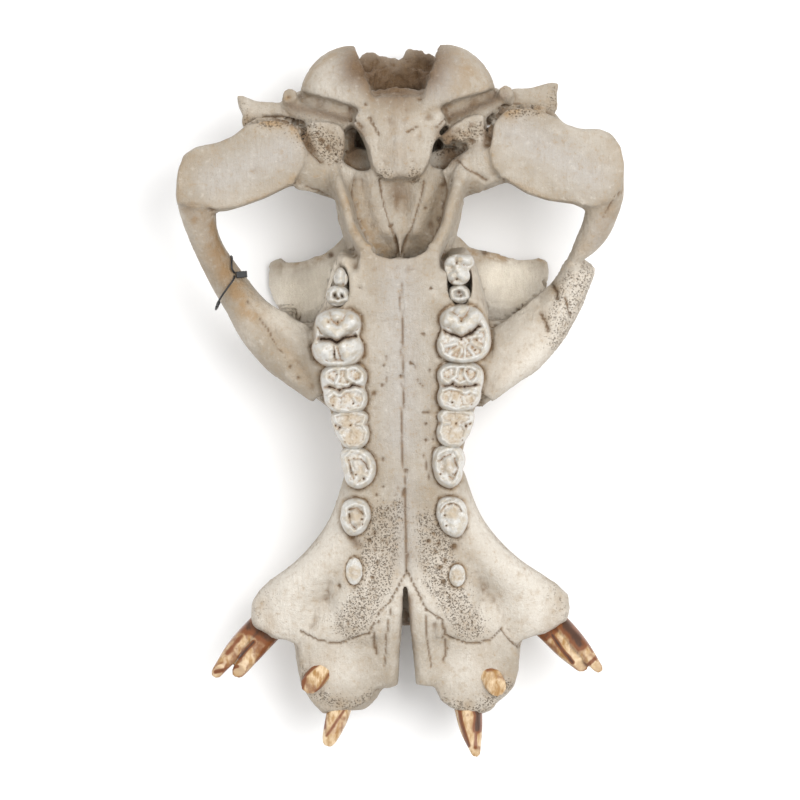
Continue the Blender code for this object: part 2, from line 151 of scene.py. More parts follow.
# %% Sockets and finishes
class Socket:
    """An output of a node. Arithmetic with it adds Math nodes."""

    def __init__(self, finish, socket):
        self.finish, self.socket = finish, socket

    def _math(self, operation, first, second):
        return self.finish.add("ShaderNodeMath", {"operation": operation}, {0: first, 1: second})

    def __add__(self, other):
        return self._math("ADD", self, other)

    def __sub__(self, other):
        return self._math("SUBTRACT", self, other)

    def __rsub__(self, other):
        return self._math("SUBTRACT", other, self)

    def __mul__(self, other):
        return self._math("MULTIPLY", self, other)

    def __pow__(self, other):
        return self._math("POWER", self, other)

    __radd__, __rmul__ = __add__, __mul__


class Finish:
    """A material that is being made."""

    def __init__(self, name):
        self.material = bpy.data.materials.new(name)
        self.material.use_nodes = True
        self.tree = self.material.node_tree
        self.shader = self.tree.nodes["Principled BSDF"]
        self.place = self.add("ShaderNodeTexCoord", output="Object")

    def feed(self, socket, value):
        if isinstance(value, Socket):
            self.tree.links.new(value.socket, socket)
        else:
            socket.default_value = value

    def add(self, kind, settings=None, inputs=None, output=0):
        node = self.tree.nodes.new(kind)
        for key, value in (settings or {}).items():
            setattr(node, key, value)
        for key, value in (inputs or {}).items():
            self.feed(node.inputs[key], value)
        return Socket(self, node.outputs[output])

    def mask(self, name):
        """The numbers that an object keeps under this name."""
        return self.add("ShaderNodeAttribute", {"attribute_name": name}, output="Fac")

    def stretched(self, scale):
        return self.add("ShaderNodeMapping", inputs={"Vector": self.place, "Scale": scale})

    def cloud(self, scale, detail, roughness, place=None):
        sizes = {"Vector": place or self.place, "Scale": scale, "Detail": detail, "Roughness": roughness}
        return self.add("ShaderNodeTexNoise", inputs=sizes)

    def cells(self, scale, output="Distance"):
        inputs = {"Vector": self.place, "Scale": scale}
        return self.add("ShaderNodeTexVoronoi", inputs=inputs, output=output)

    def ramp(self, value, low, high):
        """0 below low and 1 above high, with a soft step between. It falls where low is above high."""
        inputs = {"Value": value, "From Min": low, "From Max": high}
        return self.add("ShaderNodeMapRange", {"interpolation_type": "SMOOTHSTEP"}, inputs)

    def mix(self, share, first, second):
        colours = {0: share, 6: first, 7: second}
        return self.add("ShaderNodeMix", {"data_type": "RGBA"}, colours, output=2)

    def bump(self, height, distance, strength):
        inputs = {"Height": height, "Distance": distance * MM, "Strength": strength}
        return self.add("ShaderNodeBump", inputs=inputs)

    def finish(self, **inputs):
        for name, value in inputs.items():
            self.feed(self.shader.inputs[name.replace("_", " ").title()], value)
        return self.material


print("a socket knows", sorted(name for name in vars(Socket) if name.startswith("__r")))

# %% [markdown]
# ## Rounded bars
# Bone is a net of bars and struts that flow into each other: cheekbones, crests, the rims of the eye
# sockets. Each could be sculpted, but a table of sections is easier to correct: a place, a half width
# and a half height, every few centimetres. A grid is added, and its rows are laid round the sections,
# so it closes into a tube. Extra sections on a smooth curve between the given ones keep it from
# looking like a folded paper model.

# %% Bars and balls
BAR_SIDES = 36
STEPS_BETWEEN = 4
# no section's half width is less than this many millimetres
THINNEST = 0.6
# a bar that rises more steeply than this, as the sine of its slope, has its height along Y
UPRIGHT = 0.9
BALL_SEGMENTS = 48
BALL_RINGS = 24


def alone(obj):
    """Selects this object and no other, so that an operator acts on it alone."""
    if bpy.context.mode != "OBJECT":
        bpy.ops.object.mode_set(mode="OBJECT")
    bpy.ops.object.select_all(action="DESELECT")
    obj.select_set(True)
    bpy.context.view_layer.objects.active = obj
    return obj


@contextlib.contextmanager
def editing(obj):
    """Edit mode on this object alone, with the whole of it selected."""
    alone(obj)
    bpy.ops.object.mode_set(mode="EDIT")
    bpy.ops.mesh.select_all(action="SELECT")
    yield
    bpy.ops.object.mode_set(mode="OBJECT")


def points_of(obj):
    """The corners of a mesh in millimetres, one row each."""
    places = np.empty(len(obj.data.vertices) * 3)
    obj.data.vertices.foreach_get("co", places)
    return places.reshape(-1, 3) / MM


def place_points(obj, places):
    obj.data.vertices.foreach_set("co", (places * MM).ravel())
    obj.data.update()


def smooth_rows(stations, steps=STEPS_BETWEEN):
    """The stations and the steps between them on a curve that passes through each."""
    rows = np.array(stations, float)
    before = np.vstack([2 * rows[0] - rows[1], rows, 2 * rows[-1] - rows[-2]])
    made = []
    for p0, p1, p2, p3 in zip(before, before[1:], before[2:], before[3:]):
        for t in np.arange(steps) / steps:
            bend = (2 * p0 - 5 * p1 + 4 * p2 - p3) * t**2 + (3 * (p1 - p2) + p3 - p0) * t**3
            made.append(p1 + ((p2 - p0) * t + bend) / 2)
    made = np.array([*made, rows[-1]])
    made[:, 3:] = np.maximum(made[:, 3:], THINNEST)
    return made


def bent(value, power):
    """A sine or cosine pushed outwards: power 2 keeps an ellipse, more gives round corners."""
    return np.sign(value) * np.abs(value) ** (2 / power)


def bar(stations, side=1, powers=(2, 2), along=None, sides=BAR_SIDES):
    """A closed bar. Its upper and lower halves each have their own roundness."""
    rows = smooth_rows(stations)
    centres = rows[:, :3] * (side, 1, 1)
    headings = np.gradient(centres, axis=0) if along is None else np.tile(along, (len(rows), 1))
    headings = headings / np.linalg.norm(headings, axis=1)[:, None]
    level = np.where(np.abs(headings[:, 2:]) < UPRIGHT, [[0, 0, 1]], [[0, 1, 0]])
    across = np.cross(headings, level)
    across /= np.linalg.norm(across, axis=1)[:, None]
    up = np.cross(across, headings)
    angle = np.linspace(0, 2 * math.pi, sides + 1)
    power = np.where(np.sin(angle) >= -TINY, *powers)
    wide = bent(np.cos(angle), power)[None, :, None] * rows[:, 3, None, None]
    high = bent(np.sin(angle), power)[None, :, None] * rows[:, 4, None, None]
    skin = centres[:, None] + across[:, None] * wide + up[:, None] * high
    caps = [np.tile(end, (1, sides + 1, 1)) for end in (centres[0], centres[-1])]
    skin = np.concatenate([caps[0], skin, caps[1]])
    bpy.ops.mesh.primitive_grid_add(x_subdivisions=sides, y_subdivisions=len(skin) - 1, size=1)
    place_points(bpy.context.object, skin.reshape(-1, 3))
    return bpy.context.object


def ball(centre, radii, side=1):
    """An egg of bone."""
    bpy.ops.mesh.primitive_uv_sphere_add(segments=BALL_SEGMENTS, ring_count=BALL_RINGS, radius=1)
    obj = bpy.context.object
    place_points(obj, points_of(obj) * MM * radii + np.multiply(centre, (side, 1, 1)))
    return obj


def plate(outline, bottom, top, climb=0):
    """A slab over an outline in pixels, between two heights, whose top climbs towards the back."""
    corners = plan(outline)
    bpy.ops.mesh.primitive_circle_add(vertices=len(corners), radius=1, fill_type="NGON")
    slab = bpy.context.object
    place_points(slab, np.column_stack([corners, np.full(len(corners), bottom)]))
    with editing(slab):
        bpy.ops.mesh.extrude_region_move(TRANSFORM_OT_translate={"value": (0, 0, (top - bottom) * MM)})
    places = points_of(slab)
    places[:, 2] += np.where(places[:, 2] > (bottom + top) / 2, climb * places[:, 1], 0)
    place_points(slab, places)
    return slab


def joined(pieces, name):
    """One object of all the pieces, its doubled corners merged and its faces turned outwards."""
    alone(pieces[0])
    for piece in pieces:
        piece.select_set(True)
    bpy.ops.object.join()
    body = bpy.context.object
    with editing(body):
        bpy.ops.mesh.remove_doubles(threshold=DOUBLED * MM)
        bpy.ops.mesh.normals_make_consistent(inside=False)
    body.name = body.data.name = name
    return body


def applied(obj, kind, **settings):
    """Adds a modifier and applies it."""
    alone(obj)
    modifier = obj.modifiers.new(kind.title(), kind)
    for key, value in settings.items():
        setattr(modifier, key, value)
    bpy.ops.object.modifier_apply(modifier=modifier.name)
    return obj


def fused(obj, grain):
    """One clay-like skin over all the pieces, from cubes of this many millimetres."""
    return applied(obj, "REMESH", mode="VOXEL", voxel_size=grain * MM, adaptivity=0)


def carved(obj, other, operation="DIFFERENCE"):
    """The object without the other one or, with UNION, grown together with it."""
    applied(obj, "BOOLEAN", object=other, operation=operation, solver="MANIFOLD")
    bpy.data.objects.remove(other)
    return obj


print("a bar has", BAR_SIDES, "sides and", STEPS_BETWEEN, "steps between its stations")

# %% [markdown]
# ## The snout
# The snout is a narrow box that flares into a wide flange on each side, where the tusks are rooted.
# Below the flange a hollow boss runs forward, and the premaxillae carry the incisors. The two sides
# differ by a few percent, as on most young skulls.

# %% Stations of the snout
MUZZLE = [
    (0, -196, 66, 58, 46), (0, -160, 72, 66, 50), (0, -125, 77, 62, 50), (0, -100, 82, 55, 49),
    (0, -75, 86, 50, 48.5), (0, -50, 89, 49, 49.5), (0, -20, 91, 57, 53), (0, 10, 91, 68, 57),
    (0, 45, 92, 75, 63), (0, 72, 92, 72, 67), (0, 90, 94, 62, 69), (0, 112, 96, 57, 71),
    (0, 122, 98, 50, 70),
]
MUZZLE_POWERS = (6, 2.6)
SNOUT_SPREAD = {LEFT: 0.98, RIGHT: 1.03}
SNOUT_BARS = {
    "canine boss": [
        (34, -60, 96, 16, 34), (40, -95, 92, 22, 37), (50, -118, 88, 27, 39), (64, -138, 84, 33, 39),
        (84, -156, 79, 38, 37), (94, -172, 75, 38, 34), (98, -188, 73, 34, 31), (98, -202, 72, 27, 26),
    ],
    "upper boss": [
        (50, -120, 50, 26, 28), (62, -160, 35, 30, 32), (68, -195, 30, 28, 32), (64, -222, 34, 22, 28),
    ],
    "premaxilla": [
        (50, -160, 82, 34, 28), (53, -195, 76, 42, 32), (55, -225, 71, 40, 30), (55, -248, 68, 33, 27),
        (54, -258, 67, 24, 24), (53, -264, 66, 16, 18),
    ],
    "palatine process": [(10, -140, 108, 7, 14), (11, -190, 100, 7.5, 14), (15, -242, 91, 8, 12)],
}
NASALS = [(0, -196, 24, 22, 8), (0, -150, 30, 24, 10), (0, -80, 42, 26, 12), (0, 0, 40, 30, 14),
    (0, 60, 34, 34, 14)]

PREMAXILLA_PLATES = {
    "left": [
        (300, 640), (297, 650), (299, 686), (311, 705), (322, 717), (351, 713), (372, 703), (372, 690),
        (388, 692), (398, 689), (404, 640), (405, 600), (388, 590), (340, 610),
    ],
    "right": [
        (412, 600), (413, 636), (418, 678), (426, 690), (436, 690), (441, 705), (453, 713), (483, 720),
        (495, 714), (499, 704), (514, 694), (520, 676), (520, 650), (480, 610), (426, 590),
    ],
}
PREMAXILLA_HEIGHTS = (60, 139, 0.17)
BOSS_PLATES = {
    "left": [(275, 580), (258, 590), (250, 602), (249, 618), (250, 628), (262, 633), (274, 637), (290, 643),
        (303, 644), (320, 600)],
    "right": [(540, 580), (558, 588), (570, 600), (572, 614), (568, 628), (556, 634), (544, 638),
        (530, 643), (516, 646), (500, 600)],
}
BOSS_HEIGHTS = (58, 98)

bones = [bar(MUZZLE, powers=MUZZLE_POWERS), bar(NASALS)]
bones += [plate(outline, *PREMAXILLA_HEIGHTS) for outline in PREMAXILLA_PLATES.values()]
bones += [plate(outline, *BOSS_HEIGHTS) for outline in BOSS_PLATES.values()]
for side in SIDES.values():
    for stations in SNOUT_BARS.values():
        bones.append(bar(stations, side * SNOUT_SPREAD[side], along=(0, -1, 0)))
print("bars of the snout", len(bones))

# %% [markdown]
# ## Eye sockets and cheekbones
# Seen from the palate, the roof of each eye socket is a thin bowl with a light rim. The left cheekbone
# runs whole from the cheek to the jaw joint. The right one has come apart at its suture: its front
# part ends in a rough stub, and a thin tongue of bone points back at it.

# %% Stations of the eye sockets and cheekbones
ORBIT_SPREAD = {LEFT: 0.94, RIGHT: 1.07}
ORBIT_BARS = {
    "orbit roof": [
        (30, 96, 34, 42, 16), (52, 94, 25, 38, 12), (72, 95, 18, 34, 9), (90, 98, 12, 29, 7),
        (103, 104, 9, 22, 7), (112, 112, 9, 13, 6), (117, 117, 10, 6, 5),
    ],
    "orbit rim": [
        (116, 120, 10, 6, 6), (110, 108, 7, 7, 8), (106, 92, 7, 8, 9), (103, 78, 12, 9, 11),
        (106, 68, 34, 10, 13), (112, 64, 60, 13, 14), (116, 62, 88, 14, 14),
    ],
    "cheek": [(50, 30, 76, 40, 44), (78, 40, 70, 30, 40), (98, 52, 66, 18, 34)],
    "tuberosity": [(54, 70, 118, 17, 44), (52, 95, 124, 13, 40), (48, 114, 128, 11, 34),
        (44, 124, 130, 9, 28)],
}
LEFT_ARCH = [
    (62, 16, 112, 22, 24), (84, 34, 112, 24, 24), (98, 46, 110, 25, 24), (114, 60, 106, 22, 24),
    (124, 70, 103, 19, 24), (134, 84, 101, 16, 23), (147, 104, 103, 14.5, 21), (160, 127, 112, 12.5, 19),
    (167, 146, 123, 13, 17), (170, 164, 134, 16, 15), (172, 182, 142, 15, 11),
]
RIGHT_STUB = [
    (62, 14, 112, 22, 24), (84, 32, 112, 24, 24), (100, 44, 110, 25, 24), (116, 58, 106, 23, 24),
    (128, 71, 103, 20, 24), (139, 85, 101, 17, 23), (147, 99, 103, 14.5, 21), (151, 108, 106, 14, 19),
    (152.5, 113, 108, 12, 15),
]
RIGHT_TONGUE = [
    (174, 184, 142, 15, 11), (173, 170, 137, 16, 14), (170, 155, 130, 14, 16), (165, 141, 122, 12.5, 17),
    (157, 129, 114, 10, 17), (149, 119, 109, 6, 13), (144, 112, 107, 5, 8),
]

for side in SIDES.values():
    for stations in ORBIT_BARS.values():
        bones.append(bar(stations, side * ORBIT_SPREAD[side]))
bones += [bar(LEFT_ARCH, LEFT), bar(RIGHT_STUB, RIGHT), bar(RIGHT_TONGUE, RIGHT)]
print("with the eye sockets and cheekbones", len(bones))

# %% [markdown]
# ## The braincase and the jaw joints
# Behind the palate two thin ridges, the pterygoids, spread towards the jaw joints. Those are broad
# smooth plates on the squamosal roots. The back of the skull is a wall with a wing on each side, and
# a crest runs under it towards the snout.

# %% Stations of the braincase
BRAIN_BARS = {
    "squamosal root": [(96, 210, 138, 26, 16), (76, 200, 130, 22, 20), (50, 192, 112, 22, 28)],
    "pterygoid": [
        (26, 116, 142, 6.5, 26), (33, 131, 141, 6, 28), (40, 145, 138, 6, 31), (45, 163, 133, 6.5, 30),
        (51, 180, 127, 8, 26), (60, 196, 122, 14, 20),
    ],
    "mastoid wing": [(55, 248, 92, 14, 22), (95, 243, 92, 12, 18), (118, 243, 90, 11, 15)],
    "knob": [(90, 248, 98, 9, 9), (91, 255, 112, 7.5, 7.5), (91, 259, 122, 6.5, 6.5)],
    "paroccipital bar": [(92, 250, 102, 8, 12), (68, 238, 117, 10, 12), (40, 226, 122, 10, 10)],
    "nuchal crest": [(0, 280, 42, 10, 12), (40, 272, 44, 11, 12), (88, 248, 58, 10, 14),
        (124, 242, 84, 9, 15)],
    "temporal line": [(98, 112, 14, 9, 7), (66, 116, 22, 10, 8), (36, 142, 30, 10, 9),
        (12, 190, 36, 9, 10)],
}
JAW_JOINTS = {
    "left": [
        (250, 120), (258, 116), (274, 116), (289, 120), (300, 129), (306, 145), (304, 166), (293, 183),
        (266, 196), (243, 204), (225, 209), (205, 207), (188, 205), (178, 203), (176, 190), (178, 168),
        (184, 152), (196, 144), (216, 141), (235, 133),
    ],
    "right": [
        (498, 113), (513, 107), (530, 106), (545, 109), (556, 117), (562, 126), (580, 132), (598, 132),
        (611, 137), (620, 150), (624, 170), (623, 190), (616, 204), (600, 210), (584, 212), (574, 207),
        (548, 203), (527, 196), (508, 184), (492, 170), (488, 150), (490, 128),
    ],
}
JAW_JOINT_HEIGHTS = (134, 157)
WINGS = {
    "left": [
        (235, 90), (241, 90), (254, 96), (277, 98), (292, 104), (285, 116), (262, 113), (248, 125),
        (240, 121), (242, 111), (237, 102),
    ],
    "right": [
        (500, 95), (513, 88), (533, 87), (555, 81), (561, 84), (558, 92), (559, 106), (555, 117),
        (545, 110), (525, 105), (505, 108),
    ],
}
WING_HEIGHTS = (84, 108)
SAGITTAL_CREST = [(0, 150, 38, 12, 14), (0, 200, 38, 9, 14), (0, 274, 42, 9, 14)]
BALLS = {
    "braincase": ((0, 190, 86), (56, 100, 52)),
    "sphenoid": ((0, 160, 98), (47, 72, 27)),
    "frontals": ((0, 96, 56), (60, 50, 34)),
    "occiput": ((0, 254, 82), (98, 20, 50)),
}

bones.append(bar(SAGITTAL_CREST))
bones += [ball(*sizes) for sizes in BALLS.values()]
for side in SIDES.values():
    bones += [bar(stations, side) for stations in BRAIN_BARS.values()]
bones += [plate(outline, *JAW_JOINT_HEIGHTS) for outline in JAW_JOINTS.values()]
bones += [plate(outline, *WING_HEIGHTS) for outline in WINGS.values()]
print("bars, balls and plates of the skull", len(bones))

# %% [markdown]
# ## Fusing and hollowing
# A voxel remesh melts all the bars into one skin, as bone grows together. Then the hollows are cut: the
# passage of the nose, the pit behind the palate, the brain's hollow and its mouth, and the two holes
# beside the skull's base. The Manifold solver is the quick one and suits closed skins like these.

# %% Fuse the bones and cut the hollows
GRAIN = 2.0

NASAL_PASSAGE = [
    (0, -300, 28, 44, 44), (0, -235, 32, 42, 42), (0, -190, 52, 36, 26), (0, -150, 62, 34, 26),
    (0, -100, 80, 30, 27), (0, -50, 86, 29, 27), (0, 0, 90, 30, 32), (0, 60, 104, 30, 31),
    (0, 108, 127, 26, 22), (0, 140, 140, 24, 20),
]
FORAMEN_MAGNUM = [(0, 230, 98, 22, 22), (0, 250, 106, 25, 30), (0, 280, 112, 28, 42), (0, 320, 118, 30, 50)]
PREMAXILLARY_GAP = [(0, -142, 92, 1.5, 40), (0, -190, 92, 4, 40), (0, -260, 92, 9, 40)]
ROUND_HOLLOWS = {
    "pit behind the palate": ((0, 164, 168), (37, 44, 48)),
    "brain": ((0, 205, 86), (42, 66, 34)),
}
LACERATED_HOLES = {
    "left": [(340, 130), (352, 122), (366, 134), (376, 152), (374, 170), (358, 169), (344, 162),
        (340, 145)],
    "right": [(430, 134), (444, 124), (456, 128), (470, 140), (466, 152), (452, 160), (446, 170),
        (430, 166)],
}
LACERATED_HEIGHTS = (104, 170)

skull = fused(joined(bones, "skull"), GRAIN)
hollows = [
    bar(NASAL_PASSAGE, powers=(3, 3), along=(0, 1, 0)),
    bar(FORAMEN_MAGNUM, along=(0, 1, 0)),
    bar(PREMAXILLARY_GAP, along=(0, 1, 0)),
    *[ball(*sizes) for sizes in ROUND_HOLLOWS.values()],
    *[plate(outline, *LACERATED_HEIGHTS) for outline in LACERATED_HOLES.values()],
]
carved(skull, fused(joined(hollows, "hollows"), GRAIN))
print("faces after hollowing", len(skull.data.polygons))

# %% [markdown]
# ## Condyles, the skull's base and the ear capsules
# The two condyles are the smooth joints with the first neck bone. Each is an egg that two upright
# planes cut, which leaves a crisp lip in front and a clean border beside the great hole. The base
# between them is a shield of bone, and the ear capsules sit beside it. They are added after the
# hollows, so that nothing cuts them.

# %% Bones over the hollows
SHIELD = [
    (0, 187, 134, 15, 9), (0, 192, 132, 21, 13), (0, 200, 130, 25, 16), (0, 216, 128, 29, 18),
    (0, 236, 123, 38, 18), (0, 250, 116, 36, 16), (0, 257, 112, 26, 12),
]
SHIELD_PLATE = [
    (352, 122), (361, 134), (368, 146), (372, 163), (378, 175), (389, 181), (399, 174), (412, 180),
    (422, 175), (429, 163), (433, 146), (439, 131), (448, 122), (436, 104), (420, 96), (379, 96),
    (362, 104),
]
SHIELD_HEIGHTS = (116, 143)
PALATE_BACK = [
    (366, 247), (371, 251), (378, 257), (390, 260), (399, 257), (408, 260), (419, 257), (428, 251),
    (433, 246),
    (440, 262), (440, 290), (360, 290), (358, 262),
]
PALATE_BACK_HEIGHTS = (134, 146, 0.17)
LEFT_CAPSULE = [
    (306, 122), (318, 119), (330, 121), (340, 124), (345, 133), (345, 150), (341, 159), (332, 158),
    (322, 152), (313, 142), (307, 132),
]
RIGHT_CAPSULE = [
    (440, 138), (452, 126), (468, 117), (483, 115), (487, 133), (480, 143), (471, 139), (463, 144),
    (453, 141), (446, 146),
]
CAPSULE_HEIGHTS = (114, 142)
# the ledges inside the holes beside the base, and the ragged upper margin of the great hole
LEDGES = {
    "left": [(344, 150), (358, 144), (378, 150), (378, 174), (344, 174)],
    "right": [(426, 152), (444, 146), (468, 150), (462, 174), (426, 174)],
}
LEDGE_HEIGHTS = (94, 108)
RAGGED_MARGIN = [
    (350, 100), (350, 58), (360, 50), (366, 44), (371, 47), (374, 44), (379, 51), (383, 49), (388, 54),
    (394, 51), (399, 57), (403, 51), (406, 44), (410, 41), (415, 45), (420, 43), (425, 49), (431, 47),
    (436, 56), (444, 60), (444, 100),
]
RAGGED_MARGIN_HEIGHTS = (46, 68)
SWELLING = [(14, 190, 108, 15, 14), (15, 172, 109, 16, 15), (13, 150, 108, 14, 14), (10, 128, 105, 10, 12)]
VOMER = [(0, 108, 118, 3, 16), (0, 135, 117, 3, 16), (0, 158, 114, 6, 12)]
CONDYLE_NECK = [(36, 236, 100, 18, 20), (48, 252, 102, 22, 24), (48, 268, 102, 20, 22)]
CONDYLE = ((38, 251.5, 106), (46, 49.5, 42))
CONDYLE_CUTS = (((86, 263), (26, 244), (0, -1)), ((36, 300), (17, 240), (-1, 0)))
EAR_CAPSULE = {LEFT: ((64, 217, 121), (16, 17, 19)), RIGHT: ((56, 223, 116), (17, 12, 13))}


def condyle(side):
    """An egg that upright planes cut, each through two places on the plan, away from a direction."""
    egg = ball(*CONDYLE, side)
    for outer, inner, cleared in CONDYLE_CUTS:
        outer, inner = [np.multiply(end, (side, 1)) for end in (outer, inner)]
        away = np.array([(outer - inner)[1], -(outer - inner)[0]]) / np.linalg.norm(outer - inner)
        away *= np.sign(away @ np.multiply(cleared, (side, 1)))
        cut = {"plane_co": (*inner * MM, 0), "plane_no": (*away, 0)}
        with editing(egg):
            bpy.ops.mesh.bisect(use_fill=True, clear_outer=True, **cut)
    return egg


late = [
    bar(SHIELD, powers=(2.6, 2)), bar(VOMER), plate(SHIELD_PLATE, *SHIELD_HEIGHTS),
    plate(PALATE_BACK, *PALATE_BACK_HEIGHTS), plate(RIGHT_CAPSULE, *CAPSULE_HEIGHTS),
    plate(LEFT_CAPSULE, *CAPSULE_HEIGHTS), plate(RAGGED_MARGIN, *RAGGED_MARGIN_HEIGHTS),
    *[plate(outline, *LEDGE_HEIGHTS) for outline in LEDGES.values()],
]
for side in SIDES.values():
    late += [bar(CONDYLE_NECK, side), condyle(side), ball(*EAR_CAPSULE[side], side), bar(SWELLING, side)]
carved(skull, fused(joined(late, "late bones"), GRAIN), "UNION")

CRYPTS = {LEFT: ((52.6, 97, 158), (10, 19, 30)), RIGHT: ((49.5, 97, 158), (10.5, 20, 30))}
carved(skull, joined([ball(*CRYPTS[side], side) for side in SIDES.values()], "crypts"))
fused(skull, GRAIN)
print("faces of the whole skull", len(skull.data.polygons))

# %% [markdown]
# ## Shaping the surface
# The fused bone is smooth and doughy. A sculptor would now press creases and pull ridges. The same is
# done here with strokes: a path over the plan, a width and a depth. Only the outermost skin moves, so
# a stroke on the palate leaves the passage of the nose below it alone.

# %% Strokes on the plan
# the outermost skin is what lies this far below the highest place in a cell of this width
SKIN = 7
CELL = 3
# a stroke's strength is nothing beyond this many of its widths
FADED = 3
# how fast the border of an outline and the edge of a steep slope fade
BORDER_FADE = 4
STEEP_FADE = 4
MOST_EXPONENT = 30


def shares_of(path, width, places):
    """How strongly a stroke of this width acts on each place: 1 on its path, fading to 0 beside it."""
    path = np.array(path, float).reshape(-1, 2)
    shares = np.zeros(len(places))
    margin = FADED * width
    near = np.all((places > path.min(0) - margin) & (places < path.max(0) + margin), axis=1)
    close = places[near]
    best = np.hypot(*(close - path[0]).T)
    for start, end in zip(path[:-1], path[1:]):
        run = end - start
        along = np.clip((close - start) @ run / max(run @ run, TINY), 0, 1)
        best = np.minimum(best, np.hypot(*(close - start - along[:, None] * run).T))
    shares[near] = np.exp(-((best / width) ** 2))
    return shares


def inside(outline, places, softness):
    """1 inside an outline and 0 outside, with a soft border of this width."""
    outline = np.array(outline, float).reshape(-1, 2)
    x, y = places.T
    within = np.zeros(len(places), bool)
    border = np.full(len(places), FAR)
    for (x0, y0), (x1, y1) in zip(outline, np.roll(outline, -1, axis=0)):
        crosses = (y0 > y) != (y1 > y)
        within ^= crosses & (x < (x1 - x0) * (y - y0) / (y1 - y0 if y1 != y0 else TINY) + x0)
        run = np.array([x1 - x0, y1 - y0])
        along = np.clip(((x - x0) * run[0] + (y - y0) * run[1]) / max(run @ run, TINY), 0, 1)
        border = np.minimum(border, np.hypot(x - x0 - along * run[0], y - y0 - along * run[1]))
    signed = np.where(within, border, -border) / softness
    return 1 / (1 + np.exp(-np.clip(BORDER_FADE * signed, -MOST_EXPONENT, MOST_EXPONENT)))


def normals_of(obj):
    """The direction in which each corner of a mesh faces."""
    made = np.empty(len(obj.data.vertices) * 3)
    obj.data.vertex_normals.foreach_get("vector", made)
    return made.reshape(-1, 3)


def outermost(places, up):
    """Which places no other bone hides, seen from above (up 1) or below (up -1)."""
    cells = np.floor(places[:, :2] / CELL).astype(int)
    cells -= cells.min(0)
    keys = cells[:, 0] * (cells[:, 1].max() + 1) + cells[:, 1]
    highest = np.full(keys.max() + 1, -FAR)
    np.maximum.at(highest, keys, up * places[:, 2])
    return up * places[:, 2] > highest[keys] - SKIN


def pressed(obj, strokes, up=1, steep=0.1):
    """Presses each stroke (path in pixels, width, depth) into the skin. A negative depth raises it."""
    places, normals = points_of(obj), normals_of(obj)
    shown = outermost(places, up) * np.clip((up * normals[:, 2] - steep) * STEEP_FADE, 0, 1)
    depth = np.zeros(len(places))
    for path, width, deep in strokes:
        depth += deep * shares_of(plan(path), width, places[:, :2])
    place_points(obj, places - normals * (depth * shown)[:, None])


def neighbours_mean(obj, values, rounds):
    """Each corner's values averaged with its neighbours', this many times over."""
    ends = np.empty(len(obj.data.edges) * 2, int)
    obj.data.edges.foreach_get("vertices", ends)
    a, b = ends.reshape(-1, 2).T
    count = np.bincount(ends, minlength=len(values))[:, None]
    for _ in range(rounds):
        total = np.zeros_like(values)
        for column in range(values.shape[1]):
            total[:, column] = np.bincount(a, values[b, column], len(values))
            total[:, column] += np.bincount(b, values[a, column], len(values))
        values = (values + total / np.maximum(count, 1)) / 2
    return values


def hollowness(obj, rounds):
    """How far each corner lies below the smoothed surface round it, in millimetres."""
    places = points_of(obj)
    return np.einsum("ij,ij->i", neighbours_mean(obj, places, rounds) - places, normals_of(obj))


def softened(obj, rounds, amount):
    """Smooths the surface without shrinking thin bones, by the share that amount gives for each corner."""
    places = points_of(obj)
    smooth = neighbours_mean(obj, places, rounds)
    place_points(obj, places + (smooth - places) * np.reshape(amount, (-1, 1)))


print("a stroke reaches", SKIN, "mm below the outermost skin")

# %% [markdown]
# ## Forms of the palate side
# The eye sockets are bowls, the jaw joints are slightly hollow, and the cheek swells beside the molars
# with a trough between. Broad strokes make them. They come before the fine ones.

# %% Broad forms
BROAD = [
    # bowls of the eye sockets' roofs
    ([(302, 276), (312, 286)], 15, 6), ([(522, 270), (508, 286)], 16, 6),
    # swellings behind the palate and the valley between them
    ([(384, 200), (390, 232)], 7, -4), ([(420, 200), (414, 232)], 7, -4),
    ([(360, 180), (372, 225)], 5, 3), ([(446, 180), (432, 225)], 5, 3),
    # troughs between the sockets of the teeth and the cheek
    ([(262, 322), (290, 352), (312, 386)], 8, 6), ([(545, 335), (515, 362), (494, 388)], 8, 5),
    # jaw joints
    ([(205, 176), (235, 166), (280, 156)], 16, 2.5), ([(515, 140), (560, 152), (595, 164)], 16, 2.5),
    # floor of the palate
    ([(399, 290), (403, 420), (406, 560)], 20, 2.5),
    # swells over the roots of the teeth
    ([(303, 320), (312, 365), (322, 410)], 5, -3), ([(500, 320), (492, 365), (485, 408)], 5, -3),
    # waist between the shield and the condyles
    ([(352, 124), (372, 118)], 5, 2.5), ([(448, 124), (428, 118)], 5, 2.5),
    # shield
    ([(399, 108), (399, 140), (399, 172)], 3.5, -4), ([(378, 140), (384, 160)], 6, 2),
    ([(420, 138), (415, 158)], 6, 2),
]
MELTED = {
    "left eye socket": [(272, 264), (300, 256), (322, 250), (338, 262), (326, 300), (312, 312), (290, 318),
        (286, 290)],
    "right eye socket": [(470, 252), (503, 252), (543, 262), (536, 290), (528, 305), (505, 318), (492, 308),
        (478, 280)],
    "pit behind the palate": [(345, 172), (372, 180), (400, 186), (430, 180), (458, 172), (436, 240),
        (400, 262), (366, 244)],
    "left jaw joint": [(258, 116), (289, 120), (306, 146), (293, 183), (225, 210), (177, 196), (182, 153),
        (235, 133)],
    "right jaw joint": [(498, 113), (545, 109), (562, 128), (611, 137), (624, 190), (584, 212), (508, 184),
        (490, 140)],
    "left boss": [(245, 575), (300, 575), (312, 650), (245, 640)],
    "right boss": [(510, 580), (560, 575), (578, 600), (570, 640), (510, 652)],
    "left front": [(297, 645), (322, 717), (398, 689), (404, 620)],
    "right front": [(413, 620), (418, 678), (483, 720), (520, 650)],
}
MELTED_BORDER = 8
MELTING_ROUNDS = 60
MELTING_SHARE = 0.85
SOFTENING_ROUNDS = 4

